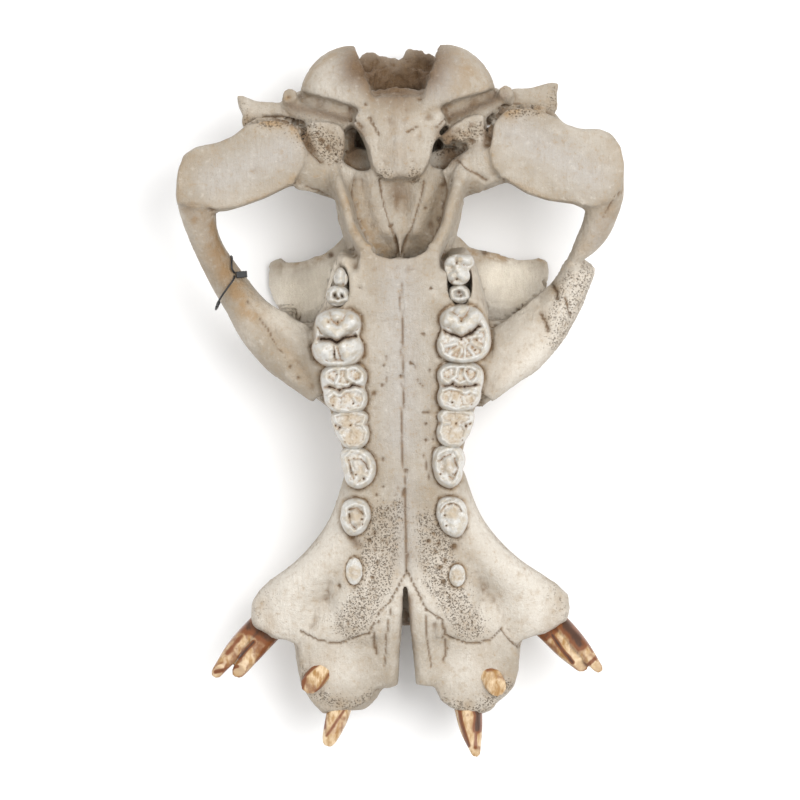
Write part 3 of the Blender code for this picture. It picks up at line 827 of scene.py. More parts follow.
places = points_of(skull)
melting = sum(inside(plan(outline), places[:, :2], MELTED_BORDER) for outline in MELTED.values())
softened(skull, MELTING_ROUNDS, np.clip(melting, 0, 1) * outermost(places, 1) * MELTING_SHARE)
pressed(skull, BROAD)
softened(skull, SOFTENING_ROUNDS, 1)

RIDGES = [
    # back rims of the eye sockets
    ([(267, 259), (301, 249), (322, 244), (335, 231), (336, 216), (329, 201), (313, 189), (294, 183)], 2.6,
        -3),
    ([(503, 177), (483, 184), (471, 201), (469, 221), (470, 232), (483, 241), (503, 246), (544, 248)], 2.6,
        -3),
    ([(285, 310), (300, 312), (312, 305)], 3, -2), ([(488, 305), (511, 309), (535, 302)], 3, -2),
    # pterygoid ridges
    ([(334, 165), (340, 187), (346, 206), (352, 228), (360, 242), (368, 250)], 3, -3),
    ([(463, 163), (456, 178), (450, 198), (447, 216), (438, 237), (431, 248)], 3, -3),
    # back border of the palate
    ([(368, 248), (378, 257), (393, 261), (398, 259), (406, 260), (419, 256), (431, 247)], 2.2, -1.5),
]
pressed(skull, RIDGES)
print("broad strokes", len(BROAD), "ridges", len(RIDGES))

# %% [markdown]
# ## Teeth on the plan
# A hippopotamus grinds with its cheek teeth, and each tells the animal's age by its wear. The second
# molars are hardly used and stand up in plump ridges. The first molars and the last premolars are worn
# to clover leaves of enamel round tan dentine, and the premolars in front are single cones. What they
# share is that the enamel forms rounded folds. So a tooth is written as its outline and the paths
# of its folds, each with a width and a height, and pits are written as points.

# %% Outlines and folds of the cheek teeth
EGG_CORNERS = 12


def mirrored(path):
    """The same path on the other side of the skull."""
    return [(2 * (MIDLINE + (y - MIDDLE) * SKEW) - x, y) for x, y in path]


def mirrored_strokes(strokes):
    return [(mirrored(path), wide, amount) for path, wide, amount in strokes]


def mirrored_spots(spots):
    return [(*mirrored([(x, y)])[0], wide) for x, y, wide in spots]


def egg(x, y, wide, long):
    """An oval outline about a place."""
    turns = np.linspace(0, math.tau, EGG_CORNERS, endpoint=False)
    return [(x + wide * math.cos(turn), y + long * math.sin(turn)) for turn in turns]


FIRST_MOLAR = {
    "valleys": [([(325, 386.5), (332, 387), (340, 388.5), (347, 388), (353, 385), (362, 386.5)], 1.5, 3)],
    "outline": [
        (322, 371), (329, 365), (345, 364), (361, 365.5), (367, 374), (365, 384), (364, 388), (367.5, 397),
        (364, 408), (350, 412), (335, 410.5), (326, 402), (324.5, 391), (321.5, 381),
    ],
    "height": 15, "floor": 0.74,
    "folds": [
        ([(326, 371), (334, 367.5), (345, 367), (356, 368), (363, 372)], 2.6, 0.98),
        ([(326, 372), (327, 379), (332, 383)], 2.8, 1), ([(338, 369), (340, 376), (336, 382)], 2.6, 0.96),
        ([(348, 369), (348, 377), (353, 380.5)], 2.6, 0.96),
        ([(363.5, 373), (362.5, 380), (357, 382.5)], 3, 1),
        ([(336, 382), (345, 384.5), (353, 380.5)], 2, 0.84),
        ([(328, 396), (334, 391.5), (341, 394), (347, 390.5), (356, 388.5), (363, 391)], 2.3, 0.92),
        ([(363, 391), (365, 399), (361, 407), (350, 410), (338, 408), (329, 402), (327.5, 396)], 2.3, 0.86),
        ([(343, 398), (341, 404)], 1.8, 0.78), ([(353, 396), (356, 401)], 1.8, 0.8),
    ],
    "pits": [(330.5, 386.5, 2.2), (340, 388.8, 1.8), (352, 384.5, 1.8), (337.6, 373, 1.1), (353, 403, 1.2),
        (334, 405, 1.1)],
    "dentine": [(347, 397, 6), (334, 401, 4), (333, 375, 3), (357, 375, 3.4), (359, 399, 3)],
}
FOURTH_PREMOLAR = {
    "outline": [
        (332, 412), (345, 409.5), (362, 410), (368.5, 415), (366, 423), (369, 431), (367.5, 441),
        (359, 448),
        (348, 447.5), (340, 439), (335, 429), (332, 420),
    ],
    "height": 11, "floor": 0.8,
    "folds": [
        ([(335, 414), (345, 412.3), (360, 412.8), (365, 416), (362.5, 422.5), (357, 424)], 2.0, 0.98),
        ([(357, 424), (363, 425), (366, 432), (364, 440), (358, 445), (349, 445), (343, 438), (340, 431),
            (344, 427)], 2.0, 0.96),
        ([(335, 414), (335.5, 421), (341, 424), (344, 427)], 2.0, 0.95),
        ([(350, 413), (349, 419)], 1.6, 0.84),
        ([(352, 428), (356, 434)], 1.6, 0.80), ([(341, 420), (347, 423)], 1.5, 0.8),
    ],
    "pits": [(366, 423.6, 1.8), (340, 427, 2.4), (336, 425, 1.5), (350, 424.5, 1.1), (345, 441, 1.0)],
    "dentine": [(351, 420, 9), (354, 436, 9)],
}
TEETH = {
    "left_second_molar": {
        "valleys": [([(321, 338), (330, 339), (337, 341), (346, 338), (356, 336)], 2.0, 7),
            ([(334.5, 345), (335, 350), (335.5, 357)], 1.0, 2.5)],
        "outline": [
            (318, 315), (327, 310), (338, 308), (351, 310.5), (360, 317), (361, 327.5), (358, 336),
            (363, 344),
            (363, 354), (356, 362), (340, 366), (325, 364), (315, 356), (312.5, 344), (317, 337),
            (315, 327),
        ],
        "height": 20, "floor": 0.34,
        "folds": [
            ([(325, 319), (328, 326), (336, 333)], 6.5, 1),
            ([(337, 334), (345, 327), (353, 321)], 6.5, 0.98),
            ([(324, 319)], 7, 0.92), ([(353, 319)], 8, 0.93), ([(338, 316)], 7, 0.9),
            ([(337, 337)], 4, 0.86),
            ([(323, 350), (330, 346)], 8, 0.90), ([(346, 346), (353, 345)], 8, 0.9),
            ([(331, 355), (327, 352)], 5, 0.8),
            ([(347, 355), (352, 352)], 5, 0.8), ([(336, 349), (338, 356)], 2.4, 0.8),
            ([(344, 341), (342, 345)], 3, 0.8),
            ([(315.5, 345), (317.5, 354), (326, 361), (339, 363), (352, 359.5), (360, 352), (361, 344)],
                2.6, 0.52),
            ([(318, 330), (316, 340)], 2.8, 0.5), ([(358, 332), (361, 341)], 2.6, 0.48),
        ],
        "pits": [(337, 339.5, 2.6), (344, 338, 2.0), (334.8, 350, 1.2), (335, 353.5, 1.2), (329, 322, 0.9),
            (338, 322, 0.9), (318, 337, 2.0)],
        "dentine": [(329, 321, 2.5), (338, 321, 2.5), (352, 317, 2)],
    },
    "right_second_molar": {
        "valleys": [([(443, 331), (451, 336), (460, 338.5), (470, 335), (478, 328)], 1.8, 4)],
        "outline": [
            (441, 315), (450, 308.5), (462, 306), (475, 309.5), (484, 320), (489, 335), (489.5, 348),
            (484, 358),
            (470, 363.5), (452, 362.5), (440, 356), (437, 346), (440, 336), (442.5, 330), (439.5, 322.5),
        ],
        "height": 20, "floor": 0.46,
        "folds": [
            ([(447, 321), (454, 322), (461, 331)], 6, 0.98), ([(462, 331), (469, 324), (476, 316)], 6.5, 1),
            ([(448, 320)], 7, 0.94), ([(474, 317)], 7, 0.95), ([(461, 313)], 6.5, 0.92),
            ([(461, 334)], 4, 0.84),
            ([(440.5, 344), (442, 354), (453, 360.5), (468, 361.5), (481, 356), (486.5, 346), (486, 334),
                (482, 323)], 2.8, 0.64),
            ([(446, 347), (457, 345)], 2.4, 0.56), ([(450, 355), (459, 348)], 2.2, 0.56),
            ([(459, 358), (461, 349)], 1.5, 0.54),
            ([(464.5, 358), (464, 349)], 1.5, 0.54), ([(473, 355), (468, 348)], 2.2, 0.58),
            ([(480, 348), (471, 343)], 2.8, 0.62),
            ([(480, 337), (469, 338)], 2.6, 0.6), ([(476, 330), (481, 332)], 2.2, 0.56),
        ],
        "pits": [(452, 336.5, 2.6), (445, 334, 2.0), (469, 333, 1.8), (462, 341, 1.6), (461, 323, 1.0),
            (477, 342, 0.9), (475, 351, 0.9)],
        "dentine": [(456, 352, 5), (474, 347, 5), (461, 321, 2)],
    },
    "left_third_premolar": {
        "valleys": [([(354, 457), (361, 459), (366, 464), (369, 469)], 1.1, 2.2),
            ([(349, 460), (350, 470), (354, 478)], 1.1, 2.2)],
        "outline": [
            (341, 450), (351, 446), (364, 448.5), (373, 457), (375.5, 470), (371, 481.5), (359, 488),
            (348.5, 484),
            (344.5, 472), (342, 461),
        ],
        "height": 16, "floor": 0.66,
        "folds": [
            ([(345, 455), (352, 450), (361, 451), (368.5, 458), (372, 469), (368, 479), (358, 484.5),
                (350, 480.5), (347.5, 470), (345, 455)], 3, 0.84),
            ([(357, 462), (359, 468), (358, 474)], 6, 1), ([(351, 475), (356, 480)], 3, 0.86),
            ([(362, 473), (366, 475)], 2.6, 0.84),
            ([(349, 462), (352, 468)], 2.4, 0.78),
        ],
        "pits": [(355.5, 474, 1.1), (364, 478, 1.2)],
        "dentine": [(358, 468, 6)],
    },
    "right_third_premolar": {
        "valleys": [([(439, 461), (444, 457), (450, 456)], 1.1, 2.2),
            ([(455, 459), (457, 468), (454, 476)], 1.1, 2)],
        "outline": [
            (434.5, 450), (447, 445.5), (460, 448.5), (464.5, 457), (462, 470), (460.5, 481), (451, 489),
            (440, 484),
            (434, 471), (433, 460),
        ],
        "height": 16, "floor": 0.66,
        "folds": [
            ([(438, 455), (446, 450), (456, 451.5), (460.5, 459), (458, 470), (456.5, 480), (450, 485),
                (441.5, 480.5), (437.5, 468), (438, 455)], 3, 0.84),
            ([(448, 461), (449, 467), (450, 473)], 5.6, 1), ([(443, 476), (448, 481)], 3, 0.86),
            ([(455, 470)], 2.6, 0.84),
        ],
        "pits": [(440.5, 475, 1.1), (452, 475, 1.1)],
        "dentine": [(448, 467, 6)],
    },
    "left_second_premolar": {
        "valleys": [([(350, 509), (357, 508), (362, 513)], 1.1, 2.2),
            ([(349, 514), (350, 522), (355, 528)], 1.1, 2.2)],
        "outline": [
            (344, 502), (354, 498), (365, 500.5), (370, 510), (368, 523), (361, 533), (350, 535),
            (342.5, 525.5), (341.5, 512),
        ],
        "height": 15, "floor": 0.68,
        "folds": [
            ([(346.5, 508), (354, 502.5), (363.5, 506), (366, 516), (361, 527), (352.5, 530.5), (346, 523),
                (346.5, 508)], 3, 0.86),
            ([(355, 514), (356, 520)], 5.4, 1), ([(350, 520), (352, 525)], 2.6, 0.84),
        ],
        "pits": [(360.5, 519, 1.2), (362, 524, 1.1)],
        "dentine": [(356, 516, 8)],
    },
    "right_second_premolar": {
        "valleys": [([(441, 512), (446, 506), (453, 504), (459, 507), (462, 512)], 1.1, 2.4)],
        "outline": [
            (440, 500), (452, 498), (463, 503), (467, 515), (466, 528), (458, 538.5), (447, 534.5),
            (439.5, 523), (437, 510),
        ],
        "height": 15, "floor": 0.66,
        "folds": [
            ([(441.5, 517), (442, 509), (449, 502.5), (458, 503.5), (463, 511)], 2.7, 0.82),
            ([(451, 515), (454, 524), (455, 530)], 7, 1),
            ([(444, 524), (448, 531)], 3, 0.8),
        ],
        "pits": [(445.5, 516, 1.2), (446, 526.5, 1.1)],
        "dentine": [(453, 514, 6)],
    },
    "left_first_premolar": {
        "outline": egg(354, 571, 8, 14), "height": 4, "floor": 0.5,
        "folds": [([(354, 565), (354, 577)], 5.5, 1)], "pits": [], "dentine": [(354, 572, 6)],
    },
    "right_first_premolar": {
        "outline": egg(457.5, 577, 8, 11.5), "height": 5, "floor": 0.5,
        "folds": [([(457, 573), (457, 581)], 5.5, 1)], "pits": [], "dentine": [(457, 577, 6)],
    },
}
for name, tooth in (("first_molar", FIRST_MOLAR), ("fourth_premolar", FOURTH_PREMOLAR)):
    TEETH["left_" + name] = tooth
    TEETH["right_" + name] = {
        **tooth,
        "outline": mirrored(tooth["outline"]),
        "valleys": mirrored_strokes(tooth.get("valleys", [])),
        "folds": mirrored_strokes(tooth["folds"]),
        "pits": mirrored_spots(tooth["pits"]),
        "dentine": mirrored_spots(tooth["dentine"]),
    }

# the last molars are still buds in their crypts, a rear and a front one in each, sunk by some millimetres
BUDS = {
    "left_third_molar": [
        {"outline": [(336, 272), (341, 267), (346, 273), (348, 281), (344, 286), (337, 285), (334, 279)],
            "height": 13, "floor": 0.4,
         "folds": [([(341, 272), (341, 280)], 4, 1), ([(338, 281)], 3, 0.8)], "pits": [(343, 284, 1.6)],
         "dentine": [], "sunk": -9},
        {"outline": [(328, 289), (336, 285), (345, 286.5), (350, 293), (349, 301), (341, 305), (331, 304),
            (326.5, 297)], "height": 14, "floor": 0.42,
         "folds": [([(331, 292), (337, 288.5), (345, 291), (346.5, 298), (339, 301.5), (331, 299.5),
             (331, 292)], 2.8, 0.95), ([(338, 289), (339.5, 296)], 2.4, 0.9)],
         "pits": [(335, 295, 1.7), (342.5, 295, 1.6), (338, 299, 1.3)], "dentine": [], "sunk": -9},
    ],
    "right_third_molar": [
        {"outline": [(445, 262), (452, 257), (462, 257), (471, 257.5), (474, 265), (468, 272), (469, 281),
            (460, 287), (450, 284), (446, 275)], "height": 14, "floor": 0.4,
         "folds": [([(451, 262)], 5, 0.96), ([(461, 261), (467, 262)], 4.4, 0.94),
             ([(457, 270), (460, 275)], 5, 1), ([(452, 278)], 4, 0.86), ([(464, 280)], 4, 0.84)],
         "pits": [(456, 265.5, 1.3), (452, 284, 1.6), (457, 281, 1.2)], "dentine": [(460, 262, 2.5)],
         "sunk": -6},
        {"outline": [(450, 289), (458, 286), (467, 289), (470.5, 297), (465, 304), (455, 303.5),
            (448.5, 297)], "height": 14, "floor": 0.42,
         "folds": [([(452, 292), (458, 289), (466, 292), (467, 299), (459, 301.5), (453, 299), (452, 292)],
             2.8, 0.95)],
         "pits": [(458.5, 294, 2.2), (460, 297.5, 1.6)], "dentine": [], "sunk": -9},
    ],
}
print("teeth on the plan", len(TEETH), "and", sum(map(len, BUDS.values())), "buds")

# %% [markdown]
# ## Rough bone
# Where bone grows or has broken it is spongy: in front of the palate beside the suture, at the broken
# end of the right cheekbone, on the ear capsules and at the tip of the skull's base. Displace pushes
# the skin by a texture there, through a vertex group that holds the zones' strength.

# %% Zones on the plan
# a vertex group holds a strength in this many levels
LEVELS = 10


def zones(marks, places):
    """The strongest of some marks at each place: a path with its width and strength, in pixels."""
    strength = np.zeros(len(places))
    for path, width, strong in marks:
        strength = np.maximum(strength, strong * shares_of(plan(path), width * MM_PER_PIXEL, places))
    return strength


SPONGY = [
    ([(383, 520), (375, 560), (366, 600), (350, 625)], 15, 1),
    ([(398, 505), (390, 560), (385, 590)], 8, 0.6),
    ([(436, 525), (440, 560), (452, 600), (470, 628)], 15, 1),
    ([(422, 520), (426, 560), (432, 590)], 8, 0.6),
    ([(308, 130), (325, 143), (335, 150)], 13, 1), ([(440, 148), (462, 138), (482, 130)], 8, 0.8),
    ([(384, 176)], 7, 1), ([(414, 176)], 7, 1),
    ([(594, 270), (580, 300), (560, 345)], 12, 0.8), ([(570, 275), (552, 320)], 8, 0.5),
    ([(262, 122), (285, 124)], 7, 0.5), ([(511, 115), (537, 113)], 7, 0.6),
    ([(240, 105), (245, 120)], 6, 0.5), ([(556, 90), (553, 110)], 6, 0.5),
    ([(318, 698), (350, 710), (370, 700)], 9, 0.5), ([(440, 706), (480, 716), (510, 690)], 9, 0.5),
    ([(300, 665), (306, 690)], 8, 0.4), ([(268, 590), (255, 610)], 10, 0.3),
    ([(555, 590), (566, 610)], 10, 0.3),
]
CRAGGY = [([(314, 128), (326, 138), (335, 150)], 11, 1), ([(446, 141), (462, 134), (478, 128)], 9, 0.8),
    ([(456, 150), (468, 146)], 5, 0.9)]
WRINKLED = [([(370, 66), (398, 78), (425, 62)], 22, 1)]


def textured(obj, marks, kind, size, strength, **settings):
    """Displaces the zones of an object by a texture of this size, both in millimetres."""
    texture = bpy.data.textures.new(kind.lower(), kind)
    for key, value in {"noise_scale": size * MM, **settings}.items():
        setattr(texture, key, value)
    places = points_of(obj)
    weights = zones(marks, places[:, :2]) * outermost(places, 1)
    group = obj.vertex_groups.new(name="zones")
    levels = np.round(weights * LEVELS).astype(int)
    for level in range(1, levels.max() + 1):
        group.add(np.nonzero(levels == level)[0].tolist(), level / LEVELS, "REPLACE")
    applied(
        obj, "DISPLACE", texture=texture, strength=strength * MM, mid_level=0.5,
        vertex_group="zones", texture_coords="LOCAL",
    )
    obj.vertex_groups.remove(obj.vertex_groups["zones"])
    bpy.data.textures.remove(texture)


EVERYWHERE = [([(400, 400)], 4000, 1)]
# where, the kind of texture, its size and its strength in millimetres
textured(skull, SPONGY, "VORONOI", 3.6, 2.0)
textured(skull, SPONGY, "CLOUDS", 3.4, 2.4, noise_depth=2)
textured(skull, CRAGGY, "CLOUDS", 6, 8, noise_depth=3)
textured(skull, WRINKLED, "CLOUDS", 8, 8, noise_depth=3)
textured(skull, EVERYWHERE, "CLOUDS", 26, 1.8, noise_depth=2)
textured(skull, EVERYWHERE, "CLOUDS", 8, 0.8, noise_depth=2)
print("spongy zones", len(SPONGY))

# %% [markdown]
# ## Sutures, vessels' holes and cracks
# These lines are what tells the eye that it looks at a skull. They are pressed last, so nothing
# softens them: narrow strokes of one to three millimetres, and single points for the small holes
# through which vessels ran.

# %% Fine lines
# each line is a path, its width and its depth, and a negative depth raises it
SUTURES = [
    # between the palate's halves
    ([(401, 285), (400.6, 305), (402.4, 330), (401.6, 352), (403, 371), (402, 384), (403.6, 400),
        (401.4, 420), (402.6, 440), (402, 455), (404.4, 480), (404, 495)], 1.25, 1.5),
    ([(404, 490), (404.6, 505), (406.4, 522), (405.8, 540), (407.2, 556), (407, 574)], 1.3, 2.6),
    # round the front of the maxillae
    ([(407, 572), (397, 590), (388, 605), (380, 612), (369, 635), (349, 641), (337, 645), (317, 641),
        (300, 632)], 1.0, 2.4),
    ([(407, 572), (416, 590), (426, 611), (434, 617), (443, 622), (445, 637), (453, 642)], 1.0, 2.4),
    ([(453, 642), (470, 647), (490, 644), (503, 632), (512, 645), (521, 652)], 1.0, 2.4),
    # the strips along the gap of the premaxillae, and the slots of two shed teeth
    ([(392, 600), (386, 640), (384, 668)], 1.2, 1.4), ([(425, 612), (428, 645), (432, 670)], 1.2, 1.4),
    ([(378, 622), (373, 640), (376, 656)], 1.6, 2.2), ([(444, 640), (447, 652), (444, 664)], 1.6, 2),
    ([(376, 621), (376, 637)], 1.8, -2.5), ([(440, 623), (439, 637)], 2.2, -3.5),
    # across the left cheekbone and the jaw joints' roots
    ([(248, 299), (254, 306), (261, 319), (268, 328), (275, 342), (283, 352), (291, 366)], 0.8, 0.9),
    ([(178, 203), (200, 203), (222, 212)], 1.6, 1.6), ([(584, 210), (602, 208), (622, 196)], 1.4, 1.2),
    ([(618, 195), (608, 212), (602, 222)], 1.1, 1.2),
    # slits
    ([(386, 355), (387.4, 366), (386, 374), (387, 382)], 0.7, 0.8),
    ([(410, 362), (415, 366), (417, 378), (419, 384), (423, 386)], 0.7, 0.9),
    ([(370, 118), (378, 134)], 1.3, 2.2), ([(408, 132), (417, 127)], 1.2, 2.0),
    ([(352, 118), (362, 126)], 1.5, 2.5),
    ([(448, 118), (436, 128)], 1.3, 2.5),
    # gaps between the jaw joints and the back wall
    ([(252, 118), (275, 114), (300, 122), (312, 148), (322, 160)], 2.4, 7),
    ([(556, 117), (530, 108), (505, 108), (490, 122), (486, 146)], 2.4, 7),
    # slits of the broken right cheekbone
    ([(549, 280), (556, 292), (558, 300)], 1.7, 4), ([(541, 314), (547, 326), (549, 333)], 1.7, 4),
    ([(566, 300), (572, 318)], 1.2, 2),
    # sphenoid's sutures beside the vomer
    ([(380, 180), (384, 205), (394, 235), (398, 256)], 1.4, 2.2),
    ([(424, 182), (418, 205), (408, 235), (402, 256)], 1.4, 2.2),
    ([(306, 186), (318, 190), (330, 197)], 1.4, 2), ([(455, 160), (470, 172), (486, 182)], 1.3, 2),
    # palate's scratches
    ([(399, 485), (392, 505), (372, 522)], 0.9, 0.8), ([(424, 455), (429, 480)], 1.0, 1.2),
]
# each hole is a place and a width
HOLES = [
    (383, 459, 1.6), (406, 471, 1.4), (426, 441, 1.8), (428, 413, 1.6), (433, 440, 1.4), (384, 366, 1.5),
    (411, 364, 1.4), (374, 393, 1.6), (430, 371, 1.3), (383, 385, 1.2), (401, 376, 1.3), (423, 335, 1.2),
    (431, 290, 1.2), (360, 288, 1.2), (248, 299, 1.3), (287.5, 93.5, 3.4), (503, 85, 3.4), (290, 365, 1.2),
    (298, 377, 1.6), (329, 250, 2.4),
    (487, 248, 2.6), (357, 220, 2.2), (440, 220, 2.2), (391, 225, 1.6), (426, 208, 1.8), (434, 535, 2.0),
    (428, 542, 2.0), (438, 545, 1.8), (424, 413, 1.2), (352, 538, 2.4), (454, 548, 2.4), (338, 586, 2.0),
    (375, 533, 1.8), (370, 540, 1.8), (383, 487, 1.2), (377, 495, 1.2), (419, 99, 2.2), (366, 105, 2.0),
    (377, 563, 1.8), (372, 578, 1.8), (440, 569, 1.8), (444, 583, 1.8), (446, 562, 1.6), (426, 424, 1.2),
]


HOLE_DEPTH = 3.2
# round each tooth: how much wider than the tooth, the width of the line, and its depth or strength
SOCKET_GROOVE = (1.07, 1.5, 2.4)
SOCKET_SWELL = (1.24, 1.8, -0.9)
SOCKET_STAIN = (1.08, 3.2, 0.85)
# sutures reach onto slopes that face down this much, holes onto upright walls
LINES_REACH = -0.4
HOLES_REACH = 0


def around(outline, spread):
    """The outline of a tooth made wider about its middle, and closed."""
    corners = np.array(outline, float)
    wider = corners.mean(0) + (corners - corners.mean(0)) * spread
    return [tuple(corner) for corner in (*wider, wider[0])]


def round_teeth(spread, width, amount):
    """A mark round each erupted tooth."""
    return [(around(tooth["outline"], spread), width, amount) for tooth in TEETH.values()]


pressed(skull, round_teeth(*SOCKET_GROOVE) + round_teeth(*SOCKET_SWELL))
pressed(skull, SUTURES, steep=LINES_REACH)
pressed(skull, [([(x, y)], wide, HOLE_DEPTH) for x, y, wide in HOLES], steep=HOLES_REACH)
print("lines", len(SUTURES), "holes", len(HOLES))

# %% [markdown]
# ## Keeping it light
# The skull is thinned here to a set number of triangles. The export thins a piece of more than 200,000
# triangles by itself, so the skull is thinned here, where one can choose what stays. Decimate takes
# edges away where the surface is flat, which leaves the creases alone.

# %% Thin the skull
MOST_TRIANGLES = 192000

triangles = sum(len(face.vertices) - 2 for face in skull.data.polygons)
applied(skull, "DECIMATE", ratio=min(1, MOST_TRIANGLES / triangles))
print("triangles", triangles, "kept", len(skull.data.polygons))

# %% [markdown]
# ## Where bone is stained, shaded and lit
# Old bone is not one colour. Fat has yellowed the edges of joints, and the sheltered sides of the eye
# sockets are tan. Painted shade darkens creases, wide hollows, holes and gaps, partly as dust, and painted
# bounce light brightens the bowls of the eye sockets. Each of these is a number for each corner of the
# mesh, which the material reads as an attribute, so a stain or a painted shade stays on its bone from
# every side.

# %% Stains, painted shade and painted light on the skull
# each stain, painted shade or painted light is a path, its width and its strength
TAN = [
    ([(184, 152), (178, 170), (177, 195)], 6, 0.6), ([(225, 208), (266, 195), (293, 182)], 4, 0.7),
    ([(620, 150), (624, 172), (622, 192)], 6, 0.6), ([(508, 184), (548, 203), (584, 212)], 4, 0.7),
    ([(490, 128), (488, 150), (492, 170)], 4, 0.8),
    ([(280, 262), (300, 258), (322, 250)], 9, 0.9), ([(490, 252), (515, 255), (545, 256)], 10, 1),
    ([(470, 240), (480, 256)], 9, 0.9),
    ([(212, 222), (220, 255), (234, 285), (250, 310)], 18, 1), ([(337, 215), (334, 235)], 7, 0.9),
    ([(462, 205), (466, 235)], 9, 0.9),
    ([(262, 322), (290, 352), (312, 386)], 9, 0.5), ([(545, 335), (515, 362), (494, 388)], 9, 0.3),
    ([(262, 120), (290, 124), (303, 136)], 8, 1), ([(505, 118), (520, 110), (540, 112)], 8, 0.9),
    ([(295, 178), (265, 195)], 6, 0.7), ([(225, 208), (190, 206)], 7, 0.7), ([(196, 216)], 9, 1),
    ([(235, 250), (262, 292)], 10, 0.4), ([(605, 215), (600, 240), (585, 253)], 12, 0.5),
    ([(594, 270), (576, 312), (558, 350)], 16, 0.2), ([(556, 290)], 7, 0.9), ([(545, 322)], 7, 0.9),
    ([(352, 200), (362, 232), (380, 250)], 17, 0.9), ([(440, 195), (430, 232), (415, 250)], 15, 0.5),
    ([(240, 120), (250, 112)], 7, 0.8), ([(286, 95)], 7, 1), ([(503, 85)], 7, 1), ([(553, 108)], 8, 0.7),
    ([(333, 52), (312, 66), (301, 86)], 4, 0.7), ([(356, 48), (362, 70), (372, 100)], 4, 0.7),
    ([(460, 58), (470, 78)], 16, 0.8), ([(399, 112), (399, 150)], 20, 0.45),
    ([(478, 80), (455, 90)], 8, 0.6), ([(495, 82), (460, 103), (424, 112)], 4, 0.7),
    ([(325, 143)], 16, 0.5), ([(465, 138)], 14, 0.4), ([(384, 176), (414, 176)], 8, 0.4),
    ([(262, 605), (270, 625), (262, 640)], 8, 0.45), ([(560, 605), (552, 630)], 8, 0.45),
    ([(330, 655), (320, 680)], 12, 0.35), ([(485, 655), (490, 690)], 12, 0.35), ([(340, 705)], 7, 0.6),
    ([(468, 708)], 8, 0.6),
    ([(384, 550), (374, 600), (350, 632)], 16, 0.15), ([(436, 550), (446, 600), (472, 634)], 16, 0.15),
    ([(324, 300), (330, 255), (345, 262)], 8, 0.5), ([(480, 300), (475, 262)], 8, 0.5),
    ([(318, 325), (322, 365), (330, 410)], 5, 0.5), ([(492, 325), (486, 365), (478, 410)], 5, 0.5),
    ([(365, 330), (368, 400), (372, 450), (374, 500)], 4, 0.4),
    ([(438, 330), (436, 400), (433, 450), (434, 500)], 4, 0.4),
    ([(210, 150), (196, 158), (184, 180)], 6, 0.35), ([(608, 148), (618, 170)], 6, 0.35),
    ([(300, 120), (285, 110)], 5, 0.8),
]
# painted shade in the great hole, the holes and gaps round the skull's base, the pit behind its tip, the
# premaxillae's gap and some vessels' holes; faint darker bone on the roots of the cheekbones
DARK = [
    ([(362, 66), (380, 78), (398, 82), (424, 70)], 20, 1), ([(290, 103), (315, 110), (345, 118)], 5, 0.5),
    ([(505, 96), (480, 106), (450, 118)], 5, 0.5), ([(356, 134), (352, 152)], 10, 0.8),
    ([(446, 136), (452, 156)], 9, 0.8),
    ([(399, 192)], 10, 0.45), ([(275, 115), (300, 124), (313, 150)], 4, 0.75),
    ([(505, 108), (490, 122), (486, 146)], 4, 0.75),
    ([(407, 600), (408, 660)], 5, 0.9), ([(204, 216), (214, 250), (230, 286)], 13, 0.2),
    ([(188, 205), (196, 216)], 8, 0.25), ([(610, 215), (602, 245)], 10, 0.12),
    ([(329, 250)], 3, 1), ([(487, 248)], 3.5, 1), ([(352, 538), (358, 545)], 4, 0.6),
    ([(454, 548)], 4, 0.6),
]
GREY = [
    ([(399, 275), (402, 360), (402, 440)], 22, 1), ([(404, 480), (406, 560)], 14, 0.7),
    ([(215, 178), (260, 160), (285, 150)], 20, 1),
    ([(515, 135), (560, 160), (590, 180)], 20, 1), ([(604, 225), (596, 245)], 10, 0.6),
    ([(345, 75)], 16, 0.5), ([(452, 72), (440, 86)], 18, 0.9),
    ([(399, 120), (399, 160)], 14, 0.5),
]
CREAM = [
    ([(330, 72), (322, 84)], 16, 0.6), ([(288, 288), (318, 280)], 26, 1),
    ([(330, 520), (290, 585), (275, 620)], 34, 1), ([(485, 520), (530, 585), (540, 620)], 34, 1),
    ([(295, 280), (318, 275)], 24, 1), ([(522, 272), (505, 300)], 26, 1), ([(330, 560)], 14, 0.6),
    ([(340, 670)], 30, 0.8), ([(470, 670)], 30, 0.8),
    ([(594, 275), (560, 330), (510, 380)], 22, 1), ([(505, 92), (550, 95)], 10, 0.25),
    ([(245, 105), (285, 112)], 10, 0.4), ([(376, 560), (355, 620)], 16, 0.8),
    ([(440, 565), (465, 620)], 16, 0.8), ([(400, 600), (300, 620)], 30, 0.8),
    ([(420, 600), (500, 620)], 30, 0.8),
]
# the bowls of the eye sockets, brightened with painted bounce light over their cream bone
LIT_BOWL = [([(288, 288), (304, 296), (322, 276)], 24, 1), ([(500, 275), (525, 272), (515, 292)], 20, 1)]
# painted shade on the deep floor of the great hole
WRINKLE_DARKNESS = 0.9
# stains, painted shade and painted light fade out on slopes at this rate
SLOPE_FADE = 3
# rounds of smoothing that a crease and a wide hollow are told by, and their depths in millimetres
CREASE_ROUNDS, CREASE_START, CREASE_SPAN = 6, 0.2, 0.5
HOLLOW_ROUNDS, HOLLOW_SPAN, WORN_SPAN = 40, 7, 4


def keep(obj, name, values):
    """Stores one number for each corner of a mesh under a name that materials can read."""
    layer = obj.data.attributes.new(name, "FLOAT", "POINT")
    layer.data.foreach_set("value", np.clip(values, 0, 1).astype(np.float32))


